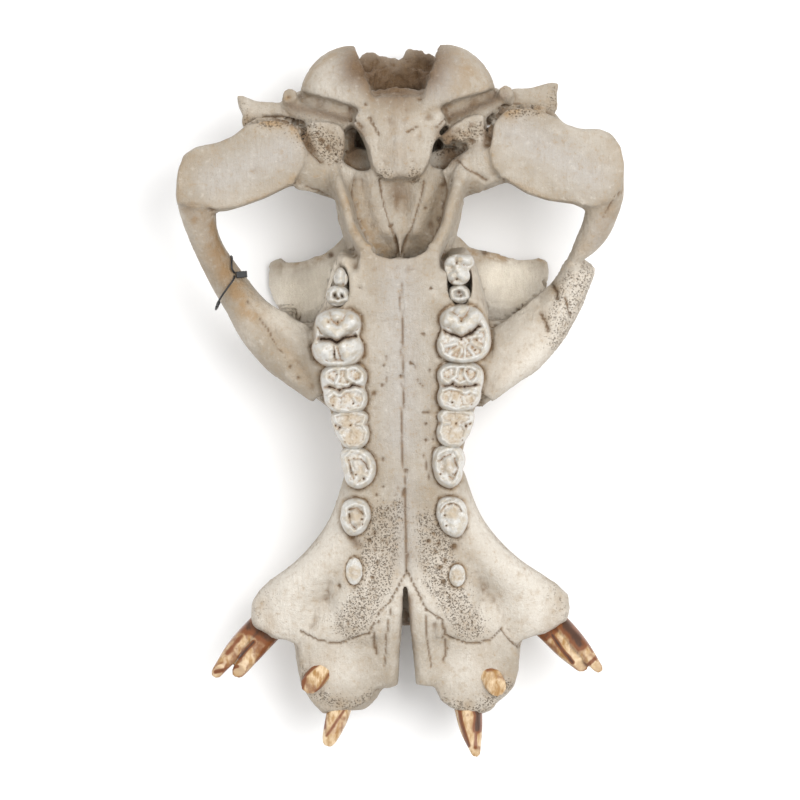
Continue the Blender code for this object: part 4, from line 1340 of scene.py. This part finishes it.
TAN += round_teeth(*SOCKET_STAIN)
spots = points_of(skull)
shown = outermost(spots, 1) * np.clip(normals_of(skull)[:, 2] * SLOPE_FADE, 0, 1)
deep = hollowness(skull, CREASE_ROUNDS)
wide_hollow = hollowness(skull, HOLLOW_ROUNDS)
stains_and_painted_light = {"spongy": SPONGY, "tan": TAN, "cream": CREAM, "bowl": LIT_BOWL, "grey": GREY, "dark": DARK}
stains_and_painted_light = {name: zones(marks, spots[:, :2]) * shown for name, marks in stains_and_painted_light.items()}
stains_and_painted_light["dark"] = np.maximum(stains_and_painted_light["dark"], zones(WRINKLED, spots[:, :2]) * WRINKLE_DARKNESS)
for name, strength in stains_and_painted_light.items():
    keep(skull, name, strength)
# creases get painted shade, partly dust, and wide hollows painted tan shade; worn only lowers the roughness
keep(skull, "creased", (deep - CREASE_START) / CREASE_SPAN)
keep(skull, "hollow", wide_hollow / HOLLOW_SPAN)
keep(skull, "worn", -wide_hollow / WORN_SPAN)
print("stains_and_painted_light", len(stains_and_painted_light), "creased share", round(float(np.mean(deep > CREASE_START)), 3))

# %% [markdown]
# ## Bone
# Dry bone is chalky, grey-white where it has been handled and warm where fat stayed in it. Close up it
# has fine pores and faint streaks along the grain. A glossy or plain white surface would look like
# plastic, so the colour comes from several soft layers. The pores are pressed in and darkened with
# painted shade and brown dirt, painted shade darkens the creases, hollows, holes and gaps, and painted
# light brightens the bowls of the eye sockets.

# %% Bone finish
GREY_BONE = (0.36, 0.31, 0.245, 1)
COOL_BONE = (0.455, 0.43, 0.40, 1)
PALE_BONE = (0.48, 0.435, 0.37, 1)
CREAM_BONE = (0.735, 0.69, 0.615, 1)
# near white: the eye sockets' cream bone with painted bounce light
LIT_BOWL_BONE = (0.96, 0.89, 0.76, 1)
TAN_BONE = (0.34, 0.235, 0.13, 1)
OCHRE = (0.36, 0.21, 0.085, 1)
# dark brown for painted shade in creases, holes and gaps, partly dust
DUST_AND_SHADE = (0.115, 0.058, 0.02, 1)
# painted shade in pores and pits, partly brown dirt
PORE = (0.17, 0.088, 0.033, 1)
# cells to a metre in spongy bone
PORE_CELLS = 640
PIT_CELLS = 460
BONE_BUMP = 1.5


def bone_finish():
    bone = Finish("bone")
    broad = bone.cloud(22, 4, 0.55)
    patchy = bone.cloud(75, 4, 0.6)
    fine = bone.cloud(900, 3, 0.65)
    mottled = bone.cloud(190, 5, 0.75)
    streaks = bone.cloud(1, 4, 0.6, place=bone.stretched((420, 60, 200)))
    spongy = bone.mask("spongy")
    # broad patches of grey, pale and cream bone
    colour = bone.mix(bone.ramp(broad, 0.35, 0.65), GREY_BONE, PALE_BONE)
    colour = bone.mix(bone.mask("cream") * 0.92, colour, CREAM_BONE)
    colour = bone.mix(bone.ramp(patchy, 0.55, 0.72) * 0.3, colour, CREAM_BONE)
    colour = bone.mix(bone.ramp(patchy, 0.48, 0.3) * 0.25, colour, TAN_BONE)
    colour = bone.mix(bone.mask("grey") * 0.8, colour, COOL_BONE)
    # stains, with ochre where they are strongest
    tan = bone.mask("tan") * bone.ramp(patchy, 0.3, 0.62)
    colour = bone.mix(tan * 0.85, colour, TAN_BONE)
    ochre = bone.ramp(bone.mask("tan") + patchy * 0.8, 1.1, 1.55)
    colour = bone.mix(ochre * 0.6, colour, OCHRE)
    # painted shade: tan in the wide hollows, where shade falls, but not in the eye sockets' bowls
    colour = bone.mix(bone.mask("hollow") * 0.45 - bone.mask("bowl"), colour, TAN_BONE)
    # the dark marks: painted shade in holes and gaps, and darker bone on the cheekbones' roots
    colour = bone.mix(bone.mask("dark") * 0.85, colour, DUST_AND_SHADE)
    # painted shade in the creases, partly dust
    colour = bone.mix(bone.mask("creased") ** 1.2 * 0.85, colour, DUST_AND_SHADE)
    # small flecks
    colour = bone.mix(bone.ramp(mottled, 0.5, 0.72) * 0.42, colour, TAN_BONE)
    colour = bone.mix(bone.ramp(mottled, 0.45, 0.3) * 0.3, colour, CREAM_BONE)
    colour = bone.mix(bone.ramp(fine * 0.5 + mottled * 0.5, 0.56, 0.68) * 0.4, colour, OCHRE)
    # painted light: a pool of bounce light in the eye sockets' bowls
    colour = bone.mix(bone.mask("bowl") * (1.1 - tan), colour, LIT_BOWL_BONE)
    # the dark marks' painted shade again, over the flecks
    colour = bone.mix(bone.mask("dark") * 0.75, colour, DUST_AND_SHADE)
    # pores in some of the cells and pits in the spongiest bone, darkened with painted shade and brown dirt
    chosen = bone.ramp(bone.cells(PORE_CELLS, output="Color"), 0.62, 0.66)
    pores = bone.ramp(bone.cells(PORE_CELLS), 0.34, 0.16) * bone.ramp(chosen * 0.25 + spongy, 0.2, 0.5)
    pits = bone.ramp(bone.cells(PIT_CELLS), 0.38, 0.2) * bone.ramp(spongy + patchy * 0.5, 0.55, 0.8)
    colour = bone.mix(pores * 0.5, colour, PORE)
    colour = bone.mix(spongy * 0.12, colour, TAN_BONE)
    colour = bone.mix(pits * 0.4, colour, PORE)
    grain = bone.ramp(fine * 0.6 + streaks * 0.4, 0.35, 0.65)
    colour = bone.mix(0.22 - grain * 0.22, colour, TAN_BONE)
    height = grain * 0.22 + streaks * 0.3 + bone.cloud(260, 4, 0.7) * 0.9 + patchy * 0.9
    height = height - pores * 0.8 - pits * 1.6
    return bone.finish(
        Base_Color=colour,
        Roughness=0.62 + fine * 0.2 - bone.mask("worn") * 0.15,
        Normal=bone.bump(height, BONE_BUMP, 1.0),
    )


skull.data.materials.clear()
skull.data.materials.append(bone_finish())
alone(skull)
bpy.ops.object.shade_smooth()
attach(skull, "root")
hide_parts("cranium")
print("bone finish nodes", len(skull.data.materials[0].node_tree.nodes))

# %% [markdown]
# ## Crowns
# A crown is a grid drawn out to the tooth's outline. Its folds raise it like rods of enamel laid side
# by side, so dark creases form between them, which painted shade darkens further, and a little noise
# breaks their shine. The border is then pulled down into the socket in steps, with a slight bulge above
# the gum.

# %% Crowns from folds
CROWN_SIDES = 70
PALATE_HEIGHT = 147
PALATE_SLOPE = 0.17
# an outline is read in so many directions, and its corners are rounded so many times
RING_STEPS = 180
RING_ROUNDS = 4
# Blender draws this noise's offset from the clock unless it is given a seed
NOISE_SEED = 1
# noise bends the folds by so many millimetres, in waves of this size, read at one level
DRIFT, DRIFT_SIZE, DRIFT_LEVEL = 1.3, 6.5, 1.7
# the higher, the deeper the crease where two folds meet
CREASE_POWER = 6
# a fold ends at this many of its widths, and this power rounds its back
FOLD_REACH, FOLD_POWER = 1.5, 0.75
# a valley this deep in millimetres gets full stain and painted shade
STAIN_AND_SHADE_DEPTH = 4
PIT_DEPTH = 2.2
ROUGH_SIZE, ROUGH_HEIGHT = 4.0, 1.2
ROUGH_FRACTAL = (0.75, 2.2, 4)
# the border of a crown turns down in a curve of this power, to this share of its height
SHOULDER_POWER, BORDER_SHARE = 9, 0.25
# the crown's border is drawn into its socket in steps: a share of its height and a share of its width
SOCKET_STEPS = ((0.12, 1.03), (0.2, 0.99), (0.3, 0.95))
ROOT_DEPTH, ROOT_SPREAD = 9, 0.94
DENTINE_REACH, DENTINE_POWER, DENTINE_SHARE = 1.1, 4, 0.8
GUM_STAIN, GUM_HEIGHT = 0.7, 0.3
# rounds of smoothing that a crown's creases are told by, for their painted shade, and their depths in
# millimetres
CROWN_CREASE_ROUNDS, CROWN_CREASE_START, CROWN_CREASE_SPAN = 12, 0.08, 0.7


def palate_at(y):
    """The height of the palate, which climbs towards the back of the skull."""
    return PALATE_HEIGHT + PALATE_SLOPE * y


def away_from(path, width, places):
    """Distance from a path in pixels, as a share of this width in pixels."""
    shares = shares_of(plan(path), width * MM_PER_PIXEL, places)
    return np.sqrt(-np.log(np.maximum(shares, TINY)))


def reach(outline, centre, angles):
    """How far an outline lies from its centre in each direction."""
    corners = plan(outline) - centre
    turns, far = np.arctan2(corners[:, 1], corners[:, 0]), np.hypot(*corners.T)
    order = np.argsort(turns)
    ring = np.linspace(-math.pi, math.pi, RING_STEPS + 1)
    radii = np.interp(ring, turns[order], far[order], period=math.tau)[:-1]
    for _ in range(RING_ROUNDS):
        radii = (radii + (np.roll(radii, 2) + np.roll(radii, -2)) / 2) / 2
    return np.interp(angles, ring[:-1], radii, period=math.tau)


def chewed(tooth, places):
    """How high each place of a crown stands, as a share of the tooth's height, and how much stain and
    painted shade it gets.
    """
    drift = np.array([noise.noise_vector((*place / DRIFT_SIZE, DRIFT_LEVEL))[:2] for place in places])
    drifted = places + drift * DRIFT
    total = tooth["floor"] ** CREASE_POWER
    for path, wide, high in tooth["folds"]:
        inward = 1 - (away_from(path, wide, drifted) / FOLD_REACH) ** 2
        total = total + (high * np.clip(inward, 0, 1) ** FOLD_POWER) ** CREASE_POWER
    rise = total ** (1 / CREASE_POWER)
    stain_and_shade = np.zeros(len(places))
    for path, wide, deep in tooth.get("valleys", []):
        near = np.exp(-(away_from(path, wide, drifted) ** 2))
        rise = rise - near * deep / tooth["height"]
        stain_and_shade = np.maximum(stain_and_shade, near * min(1, deep / STAIN_AND_SHADE_DEPTH))
    for x, y, wide in tooth["pits"]:
        near = np.exp(-(away_from([(x, y)], wide, drifted) ** 2))
        rise = rise - near * PIT_DEPTH / tooth["height"]
        stain_and_shade = np.maximum(stain_and_shade, near)
    spots = [(*place / ROUGH_SIZE, tooth["height"]) for place in places]
    rough = np.array([noise.fractal(spot, *ROUGH_FRACTAL) for spot in spots])
    return rise + rough * ROUGH_HEIGHT / tooth["height"], stain_and_shade


def set_in_socket(obj, height, middle):
    """Draws the border of a crown down into its socket in steps, and closes it there."""
    steps = [(height * share, spread) for share, spread in SOCKET_STEPS] + [(ROOT_DEPTH, ROOT_SPREAD)]
    with editing(obj):
        bpy.ops.mesh.region_to_loop()
        for drop, spread in steps:
            bpy.ops.mesh.extrude_edges_move(TRANSFORM_OT_translate={"value": (0, 0, -drop * MM)})
            bpy.ops.transform.resize(value=(spread, spread, 1), center_override=middle)
        bpy.ops.mesh.edge_face_add()
        bpy.ops.mesh.select_all(action="SELECT")
        bpy.ops.mesh.normals_make_consistent(inside=False)


def keep_wear(obj, tooth, stain_and_shade, ground):
    """Stores where a crown shows dentine, where it gets stain and painted shade, and where its creases get
    painted shade.
    """
    spots = points_of(obj)
    worn = np.zeros(len(spots))
    for x, y, wide in tooth["dentine"]:
        away = away_from([(x, y)], wide, spots[:, :2]) / DENTINE_REACH
        worn = np.maximum(worn, np.exp(-(away**DENTINE_POWER)))
    pitted = np.zeros(len(spots))
    pitted[: len(stain_and_shade)] = stain_and_shade
    near_gum = np.clip(1 - (spots[:, 2] - ground) / (GUM_HEIGHT * tooth["height"]), 0, 1)
    keep(obj, "dentine", worn * DENTINE_SHARE)
    keep(obj, "stain_and_shade", np.maximum(pitted, near_gum * GUM_STAIN))
    keep(obj, "creased", (hollowness(obj, CROWN_CREASE_ROUNDS) - CROWN_CREASE_START) / CROWN_CREASE_SPAN)


def crown(name, tooth):
    """A crown from a grid that is drawn out to the tooth's outline, raised by its folds and closed."""
    bpy.ops.mesh.primitive_grid_add(x_subdivisions=CROWN_SIDES, y_subdivisions=CROWN_SIDES, size=2)
    obj = alone(bpy.context.object)
    obj.name = obj.data.name = name
    u, v, _ = (points_of(obj) * MM).T
    across, along = u * np.sqrt(1 - v * v / 2), v * np.sqrt(1 - u * u / 2)
    outward = np.hypot(across, along)
    angles = np.arctan2(along, across)
    centre = plan(tooth["outline"]).mean(0)
    headings = np.column_stack([np.cos(angles), np.sin(angles)])
    places = centre + (outward * reach(tooth["outline"], centre, angles))[:, None] * headings
    rise, stain_and_shade = chewed(tooth, places)
    shoulder = np.sqrt(np.clip(1 - outward**SHOULDER_POWER, 0, 1))
    height, ground = tooth["height"], palate_at(centre[1]) + tooth.get("sunk", 0)
    rise = rise * (BORDER_SHARE + (1 - BORDER_SHARE) * shoulder)
    place_points(obj, np.column_stack([places, ground + height * rise]))
    set_in_socket(obj, height, (*centre * MM, ground * MM))
    keep_wear(obj, tooth, stain_and_shade, ground)
    return obj


noise.seed_set(NOISE_SEED)
crowns = {name: crown(name + "_crown", tooth) for name, tooth in TEETH.items()}
for name, buds in BUDS.items():
    lobes = [crown(f"{name}_{number}", bud) for number, bud in enumerate(buds)]
    alone(lobes[0])
    lobes[1].select_set(True)
    bpy.ops.object.join()
    lobes[0].name = lobes[0].data.name = name + "_crown"
    crowns[name] = lobes[0]
print("crowns", len(crowns), "faces", sum(len(obj.data.polygons) for obj in crowns.values()))

# %% [markdown]
# ## Enamel
# Enamel is white and glossy beside the chalky bone, and the dentine in it is tan and duller. Painted
# shade, partly brown stain, lies in every crease, valley and pit. One material serves all the cheek
# teeth, because the masks on each tooth say where its dentine, its stain and its painted shade are.

# %% Enamel finish
ENAMEL = (0.56, 0.545, 0.51, 1)
WARM_ENAMEL = (0.47, 0.41, 0.32, 1)
DENTINE = (0.42, 0.33, 0.225, 1)
# brown stain with painted shade, for the pits, valleys and creases
STAIN_AND_SHADE = (0.24, 0.125, 0.045, 1)
# near black painted shade, with a little stain, for the deepest creases
DEEP_SHADE_AND_STAIN = (0.045, 0.024, 0.012, 1)


def enamel_finish():
    enamel = Finish("enamel")
    patchy = enamel.cloud(160, 4, 0.6)
    fine = enamel.cloud(700, 3, 0.6)
    colour = enamel.mix(enamel.ramp(patchy, 0.42, 0.62) * 0.75, ENAMEL, WARM_ENAMEL)
    dentine = enamel.mask("dentine")
    patches = enamel.ramp(patchy + fine * 0.3, 0.35, 0.7)
    colour = enamel.mix(dentine * patches * 0.9, colour, DENTINE)
    # stain and painted shade in the pits and valleys, and darker near the gum
    stain_and_shade = enamel.mask("stain_and_shade")
    colour = enamel.mix(stain_and_shade * 0.7, colour, STAIN_AND_SHADE)
    # painted shade in the creases
    colour = enamel.mix(enamel.mask("creased") ** 1.2 * 0.8, colour, STAIN_AND_SHADE)
    # near black painted shade where both are strongest
    colour = enamel.mix(enamel.ramp(stain_and_shade + enamel.mask("creased") * 0.8, 0.95, 1.5), colour, DEEP_SHADE_AND_STAIN)
    return enamel.finish(
        Base_Color=colour,
        Roughness=0.40 + dentine * 0.25 + stain_and_shade * 0.2,
        Coat_Weight=0.12 - dentine * 0.2,
        Normal=enamel.bump(fine * 0.4 + patchy, 0.4, 0.6),
    )


enamel = enamel_finish()
for name, obj in crowns.items():
    obj.data.materials.append(enamel)
    alone(obj)
    bpy.ops.object.shade_smooth()
    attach(obj, "root")
    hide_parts(name)
print("enamel on", len(crowns), "teeth")

# %% [markdown]
# ## Tusks and front teeth
# The upper tusk is short and split along its length by a deep groove into two ribs, and its end is
# worn slantwise by the lower tusk. The two front teeth on each side are pegs, one short and one that
# points forward. All are ivory in a thin honey-brown coat. A bar gives the taper, its corners are
# moved to press the groove, and a bisect cuts the worn face.

# %% Ivory bars
TUSK_LOBES = {
    "left": [
        [(-102, -167, 60, 8.5, 8.5), (-127, -190, 80, 8.5, 8.5), (-145, -209, 98, 8, 8),
            (-159, -226, 111, 5, 5.5), (-163, -232, 115, 4, 4)],
        [(-94, -174, 60, 9.5, 9), (-117, -197, 80, 9.5, 9.5), (-132, -213, 95, 9, 8.5),
            (-141, -226, 105, 6, 5.5), (-145, -231, 108, 5, 4)],
    ],
    "right": [
        [(102, -167, 60, 8.5, 8.5), (128, -190, 80, 8.5, 8.5), (146, -210, 98, 8, 8),
            (160, -227, 110, 4.5, 5), (164, -232, 113, 3.5, 4)],
        [(97, -176, 60, 9.5, 9), (120, -198, 80, 9.5, 9.5), (136, -214, 95, 9, 8.5),
            (147, -226, 105, 6, 5.5), (151, -230, 108, 5, 4)],
    ],
}
FIRST_INCISORS = {
    "left": [(-51, -234, 68, 10.5, 10), (-55, -252, 77, 10.5, 9.5), (-61, -272, 88, 9, 8),
        (-66, -286, 95, 6.5, 5.5), (-68, -292, 98, 4, 3.5)],
    "right": [(49, -236, 68, 12, 11), (51, -256, 78, 12, 10.5), (54, -280, 90, 9.5, 8),
        (57, -297, 97, 5, 5), (58, -303, 100, 3, 3)],
}
SECOND_INCISORS = {
    "left": [(-62, -218, 78, 10, 9), (-72, -229, 92, 10, 9.5), (-81, -239, 102, 8.5, 8),
        (-87, -247, 107, 5, 4.5)],
    "right": [(64, -224, 80, 9.5, 9), (71, -235, 93, 9.5, 9), (76, -244, 101, 8.5, 7.5),
        (79, -251, 105, 5, 4.5)],
}
# where the coat is stained dark, as marks on the plan
RUST_MARKS = [
    ([(248, 626), (260, 632), (270, 640)], 9, 1), ([(252, 642), (238, 657)], 2.2, 1),
    ([(214, 671), (236, 666)], 2, 0.7),
    ([(270, 640), (256, 662)], 3, 0.6), ([(240, 636), (226, 652)], 3, 0.5),
    ([(566, 628), (576, 640), (582, 648)], 8, 1), ([(554, 640), (564, 655), (574, 667)], 2.2, 1),
    ([(546, 642), (556, 634)], 5, 0.8), ([(590, 669), (598, 662)], 2, 0.7),
    ([(584, 640), (594, 656)], 2.5, 0.5),
    ([(326, 706), (343, 706)], 5, 1), ([(324, 712), (324, 730)], 2, 0.5),
    ([(475, 706), (479, 720), (478, 734)], 4, 1.1),
    ([(459, 706), (462, 726), (469, 750)], 2.2, 0.8), ([(477, 734), (476, 752)], 2, 0.6),
    ([(300, 694), (304, 676), (318, 664)], 2.5, 0.6), ([(316, 694), (328, 676)], 2.2, 0.5),
    ([(326, 738), (344, 712)], 2, 0.45), ([(488, 674), (498, 672)], 3, 0.45),
]
PEG_SIDES = 48
PEG_STEPS = 5
PEG_POWERS = (2.3, 2.3)
# flutes along a peg: their depth as a share of its radius, their number round it and their twist
FLUTES = ((0.03, 9, 3), (0.02, 17, 0))
FURROW_WIDTH = 0.3
TUSK_GROOVE = 0.10
# a worn face lies so many millimetres above the last but one station, and faces this way on the right
TUSK_WEAR = (2.5, (0.20, -0.30, 0.93))
PEG_WEAR = {"first": (3.5, (0.05, -0.35, 0.9)), "second": (3.5, (0.3, -0.35, 0.9))}
PEG_GRAIN = 0.9
PEG_CREASE_ROUNDS, PEG_CREASE_SPAN = 8, 0.4
# a face is worn where it looks up this much, and that shows at this rate
WORN_FACING, WORN_RATE = 0.88, 12


def ivory(name, stations, side, wear, groove=0.0):
    """A peg of ivory with a worn face near its tip. groove presses a furrow along its upper side."""
    rows = smooth_rows(stations, PEG_STEPS)
    peg = bar(rows, powers=PEG_POWERS, sides=PEG_SIDES)
    peg.name = peg.data.name = name
    applied(peg, "WELD", merge_threshold=DOUBLED * MM)
    places = points_of(peg)
    start, end = rows[0, :3], rows[-1, :3]
    run = (end - start) / np.linalg.norm(end - start)
    along = (places - start) @ run / np.linalg.norm(end - start)
    shares = np.linspace(0, 1, len(rows))
    spine = np.column_stack([np.interp(along, shares, rows[:, axis]) for axis in range(3)])
    out = places - spine
    angle = np.arctan2(out @ np.cross(run, (0, 0, 1)), out[:, 2])
    flutes = sum(depth * np.sin(count * angle + twist * along) for depth, count, twist in FLUTES)
    furrow = groove * np.exp(-((angle / FURROW_WIDTH) ** 2))
    place_points(peg, spine + out * (1 + flutes - furrow)[:, None])
    rise, facing = wear
    normal = np.multiply(facing, (side, 1, 1)) / np.linalg.norm(facing)
    cut = (np.array(stations[-2][:3], float) + (0, 0, rise)) * MM
    with editing(peg):
        bpy.ops.mesh.bisect(plane_co=tuple(cut), plane_no=tuple(normal), use_fill=True, clear_outer=True)
    return peg


def smoothed(obj):
    """Remeshed to an even skin and softened, which rounds the edges of a worn face a little."""
    fused(obj, PEG_GRAIN)
    softened(obj, 2, 1)
    return obj


fronts = {}
for word, side in SIDES.items():
    lobes = [ivory("lobe", stations, side, TUSK_WEAR, TUSK_GROOVE) for stations in TUSK_LOBES[word]]
    fronts[word + "_canine"] = smoothed(joined(lobes, word + "_tusk"))
    for kind, incisors in (("first", FIRST_INCISORS), ("second", SECOND_INCISORS)):
        peg = ivory(f"{word}_{kind}_peg", incisors[word], side, PEG_WEAR[kind])
        fronts[f"{word}_{kind}_incisor"] = smoothed(peg)
for peg in fronts.values():
    keep(peg, "creased", hollowness(peg, PEG_CREASE_ROUNDS) / PEG_CREASE_SPAN)
    keep(peg, "face", np.clip((normals_of(peg)[:, 2] - WORN_FACING) * WORN_RATE, 0, 1))
    keep(peg, "rust", zones(RUST_MARKS, points_of(peg)[:, :2]))
print("front teeth", len(fronts), "faces", [len(peg.data.polygons) for peg in fronts.values()])

# %% [markdown]
# ## Ivory
# The coat is orange-brown and darkest near the gum, and painted shade darkens its grooves. Where wear
# has cut it away, the ivory inside is pale with faint streaks along the tooth. The streaks come from a
# noise that is
# stretched in the direction of the tusks, which all point outwards and forwards.

# %% Ivory finish
HONEY = (0.34, 0.18, 0.054, 1)
PALE_IVORY = (0.68, 0.52, 0.33, 1)
RUST = (0.17, 0.046, 0.007, 1)
UMBER = (0.035, 0.014, 0.006, 1)


def ivory_finish(name, darkness, polish):
    """darkness is how much of the coat is rust, polish is how pale the worn faces are."""
    ivory = Finish(name)
    streaks = ivory.cloud(1, 4, 0.6, place=ivory.stretched((260, 90, 90)))
    patchy = ivory.cloud(70, 3, 0.55)
    colour = ivory.mix(ivory.ramp(streaks, 0.35, 0.65), HONEY, PALE_IVORY)
    rust = ivory.ramp(patchy + streaks * 0.5, 0.85 - darkness, 1.05 - darkness * 0.7)
    colour = ivory.mix(rust * 0.8, colour, RUST)
    colour = ivory.mix(ivory.mask("face") * polish, colour, PALE_IVORY)
    marked = ivory.mask("rust") + patchy * 0.5
    colour = ivory.mix(ivory.ramp(marked + streaks * 0.5, 0.6, 1.0) * 0.97, colour, RUST)
    colour = ivory.mix(ivory.ramp(marked + streaks * 0.7, 1.2, 1.6) * 0.85, colour, UMBER)
    # painted shade in the creases and the tusks' grooves
    colour = ivory.mix(ivory.mask("creased") * 0.95, colour, UMBER)
    return ivory.finish(
        Base_Color=colour,
        Roughness=0.34 + streaks * 0.2,
        Coat_Weight=0.25 - ivory.mask("face") * 0.25,
        Normal=ivory.bump(streaks * 0.8 + patchy * 0.3, 0.5, 0.6),
    )


tusk_ivory, peg_ivory = ivory_finish("tusk_ivory", 0.22, 0.75), ivory_finish("peg_ivory", 0.06, 0.2)
for name, peg in fronts.items():
    peg.data.materials.clear()
    peg.data.materials.append(tusk_ivory if "canine" in name else peg_ivory)
    alone(peg)
    bpy.ops.object.shade_smooth()
    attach(peg, "root")
    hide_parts(name)

# %% [markdown]
# ## Wire and crimp
# A thin black wire loops round the left cheekbone and is closed by a small moulded crimp. The wire is a
# round bar on a smooth path, and the crimp is a box with rounded edges, a seam and two dents.

# %% Wire and crimp
WIRE_RADIUS = 0.8
WIRE_SIDES = 12
WIRE_PATH = [
    (-139.9, 109.3, 121), (-142, 112.5, 123.5), (-142.3, 117, 123), (-142, 122, 118), (-143, 124, 108),
    (-143.5, 123, 96), (-144.5, 117, 84), (-147, 108, 77.5), (-151, 95, 77.5), (-155, 84, 84),
    (-157, 79.5, 96),
    (-156.8, 80, 108), (-155, 84, 118), (-151, 90, 124.5), (-146.5, 96, 127), (-141, 103.5, 126),
    (-140, 106.7, 122),
]
CRIMP_CENTRE = (-134, 108, 120.5)
CRIMP_SIZE = (9, 6, 5)
CRIMP_TURN = math.radians(4)
CRIMP_CUTS = 5
CRIMP_BEVEL = 0.7
CRIMP_SEGMENTS = 3
SHARP_ANGLE, SMOOTH_ANGLE = math.radians(40), math.radians(35)
# across the crimp, as shares of its length: a seam in the middle, and a dent on each side of it
SEAM_DEPTH, SEAM_WIDTH = 0.10, 0.06
DENT_DEPTH, DENT_PLACE, DENT_WIDTH = 0.14, 0.3, 0.12
BLACK, SCUFFED = (0.012, 0.012, 0.013, 1), (0.05, 0.05, 0.052, 1)

wire = bar([(*place, WIRE_RADIUS, WIRE_RADIUS) for place in WIRE_PATH], sides=WIRE_SIDES)
wire.name = wire.data.name = "wire"
applied(wire, "WELD", merge_threshold=DOUBLED * MM)
alone(wire)
bpy.ops.object.shade_smooth()

bpy.ops.mesh.primitive_cube_add(size=1)
crimp = bpy.context.object
crimp.name = crimp.data.name = "crimp"
with editing(crimp):
    bpy.ops.mesh.subdivide(number_cuts=CRIMP_CUTS)
local = points_of(crimp) * MM
seam = 1 - SEAM_DEPTH * np.exp(-((local[:, 0] / SEAM_WIDTH) ** 2))
dents = 1 - DENT_DEPTH * np.exp(-(((np.abs(local[:, 0]) - DENT_PLACE) / DENT_WIDTH) ** 2))
local *= np.column_stack([np.ones(len(local)), seam * dents, seam * dents])
x, y, z = (local * CRIMP_SIZE).T
cosine, sine = math.cos(CRIMP_TURN), math.sin(CRIMP_TURN)
turned = np.column_stack([x * cosine - y * sine, x * sine + y * cosine, z])
place_points(crimp, turned + CRIMP_CENTRE)
applied(crimp, "BEVEL", width=CRIMP_BEVEL * MM, segments=CRIMP_SEGMENTS, limit_method="ANGLE",
    angle_limit=SHARP_ANGLE)
alone(crimp)
bpy.ops.object.shade_smooth_by_angle(angle=SMOOTH_ANGLE)


def black_finish(name, roughness):
    black = Finish(name)
    scuffs = black.cloud(500, 3, 0.6)
    return black.finish(
        Base_Color=black.mix(black.ramp(scuffs, 0.5, 0.75) * 0.4, BLACK, SCUFFED),
        Roughness=roughness + scuffs * 0.2,
        Normal=black.bump(scuffs, 0.15, 0.5),
    )


for piece, node, roughness in ((wire, "tag_wire", 0.35), (crimp, "tag_crimp", 0.45)):
    piece.data.materials.append(black_finish(node, roughness))
    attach(piece, "root")
    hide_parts(node)
bpy.ops.object.select_all(action="DESELECT")
print("wire faces", len(wire.data.polygons), "crimp faces", len(crimp.data.polygons))
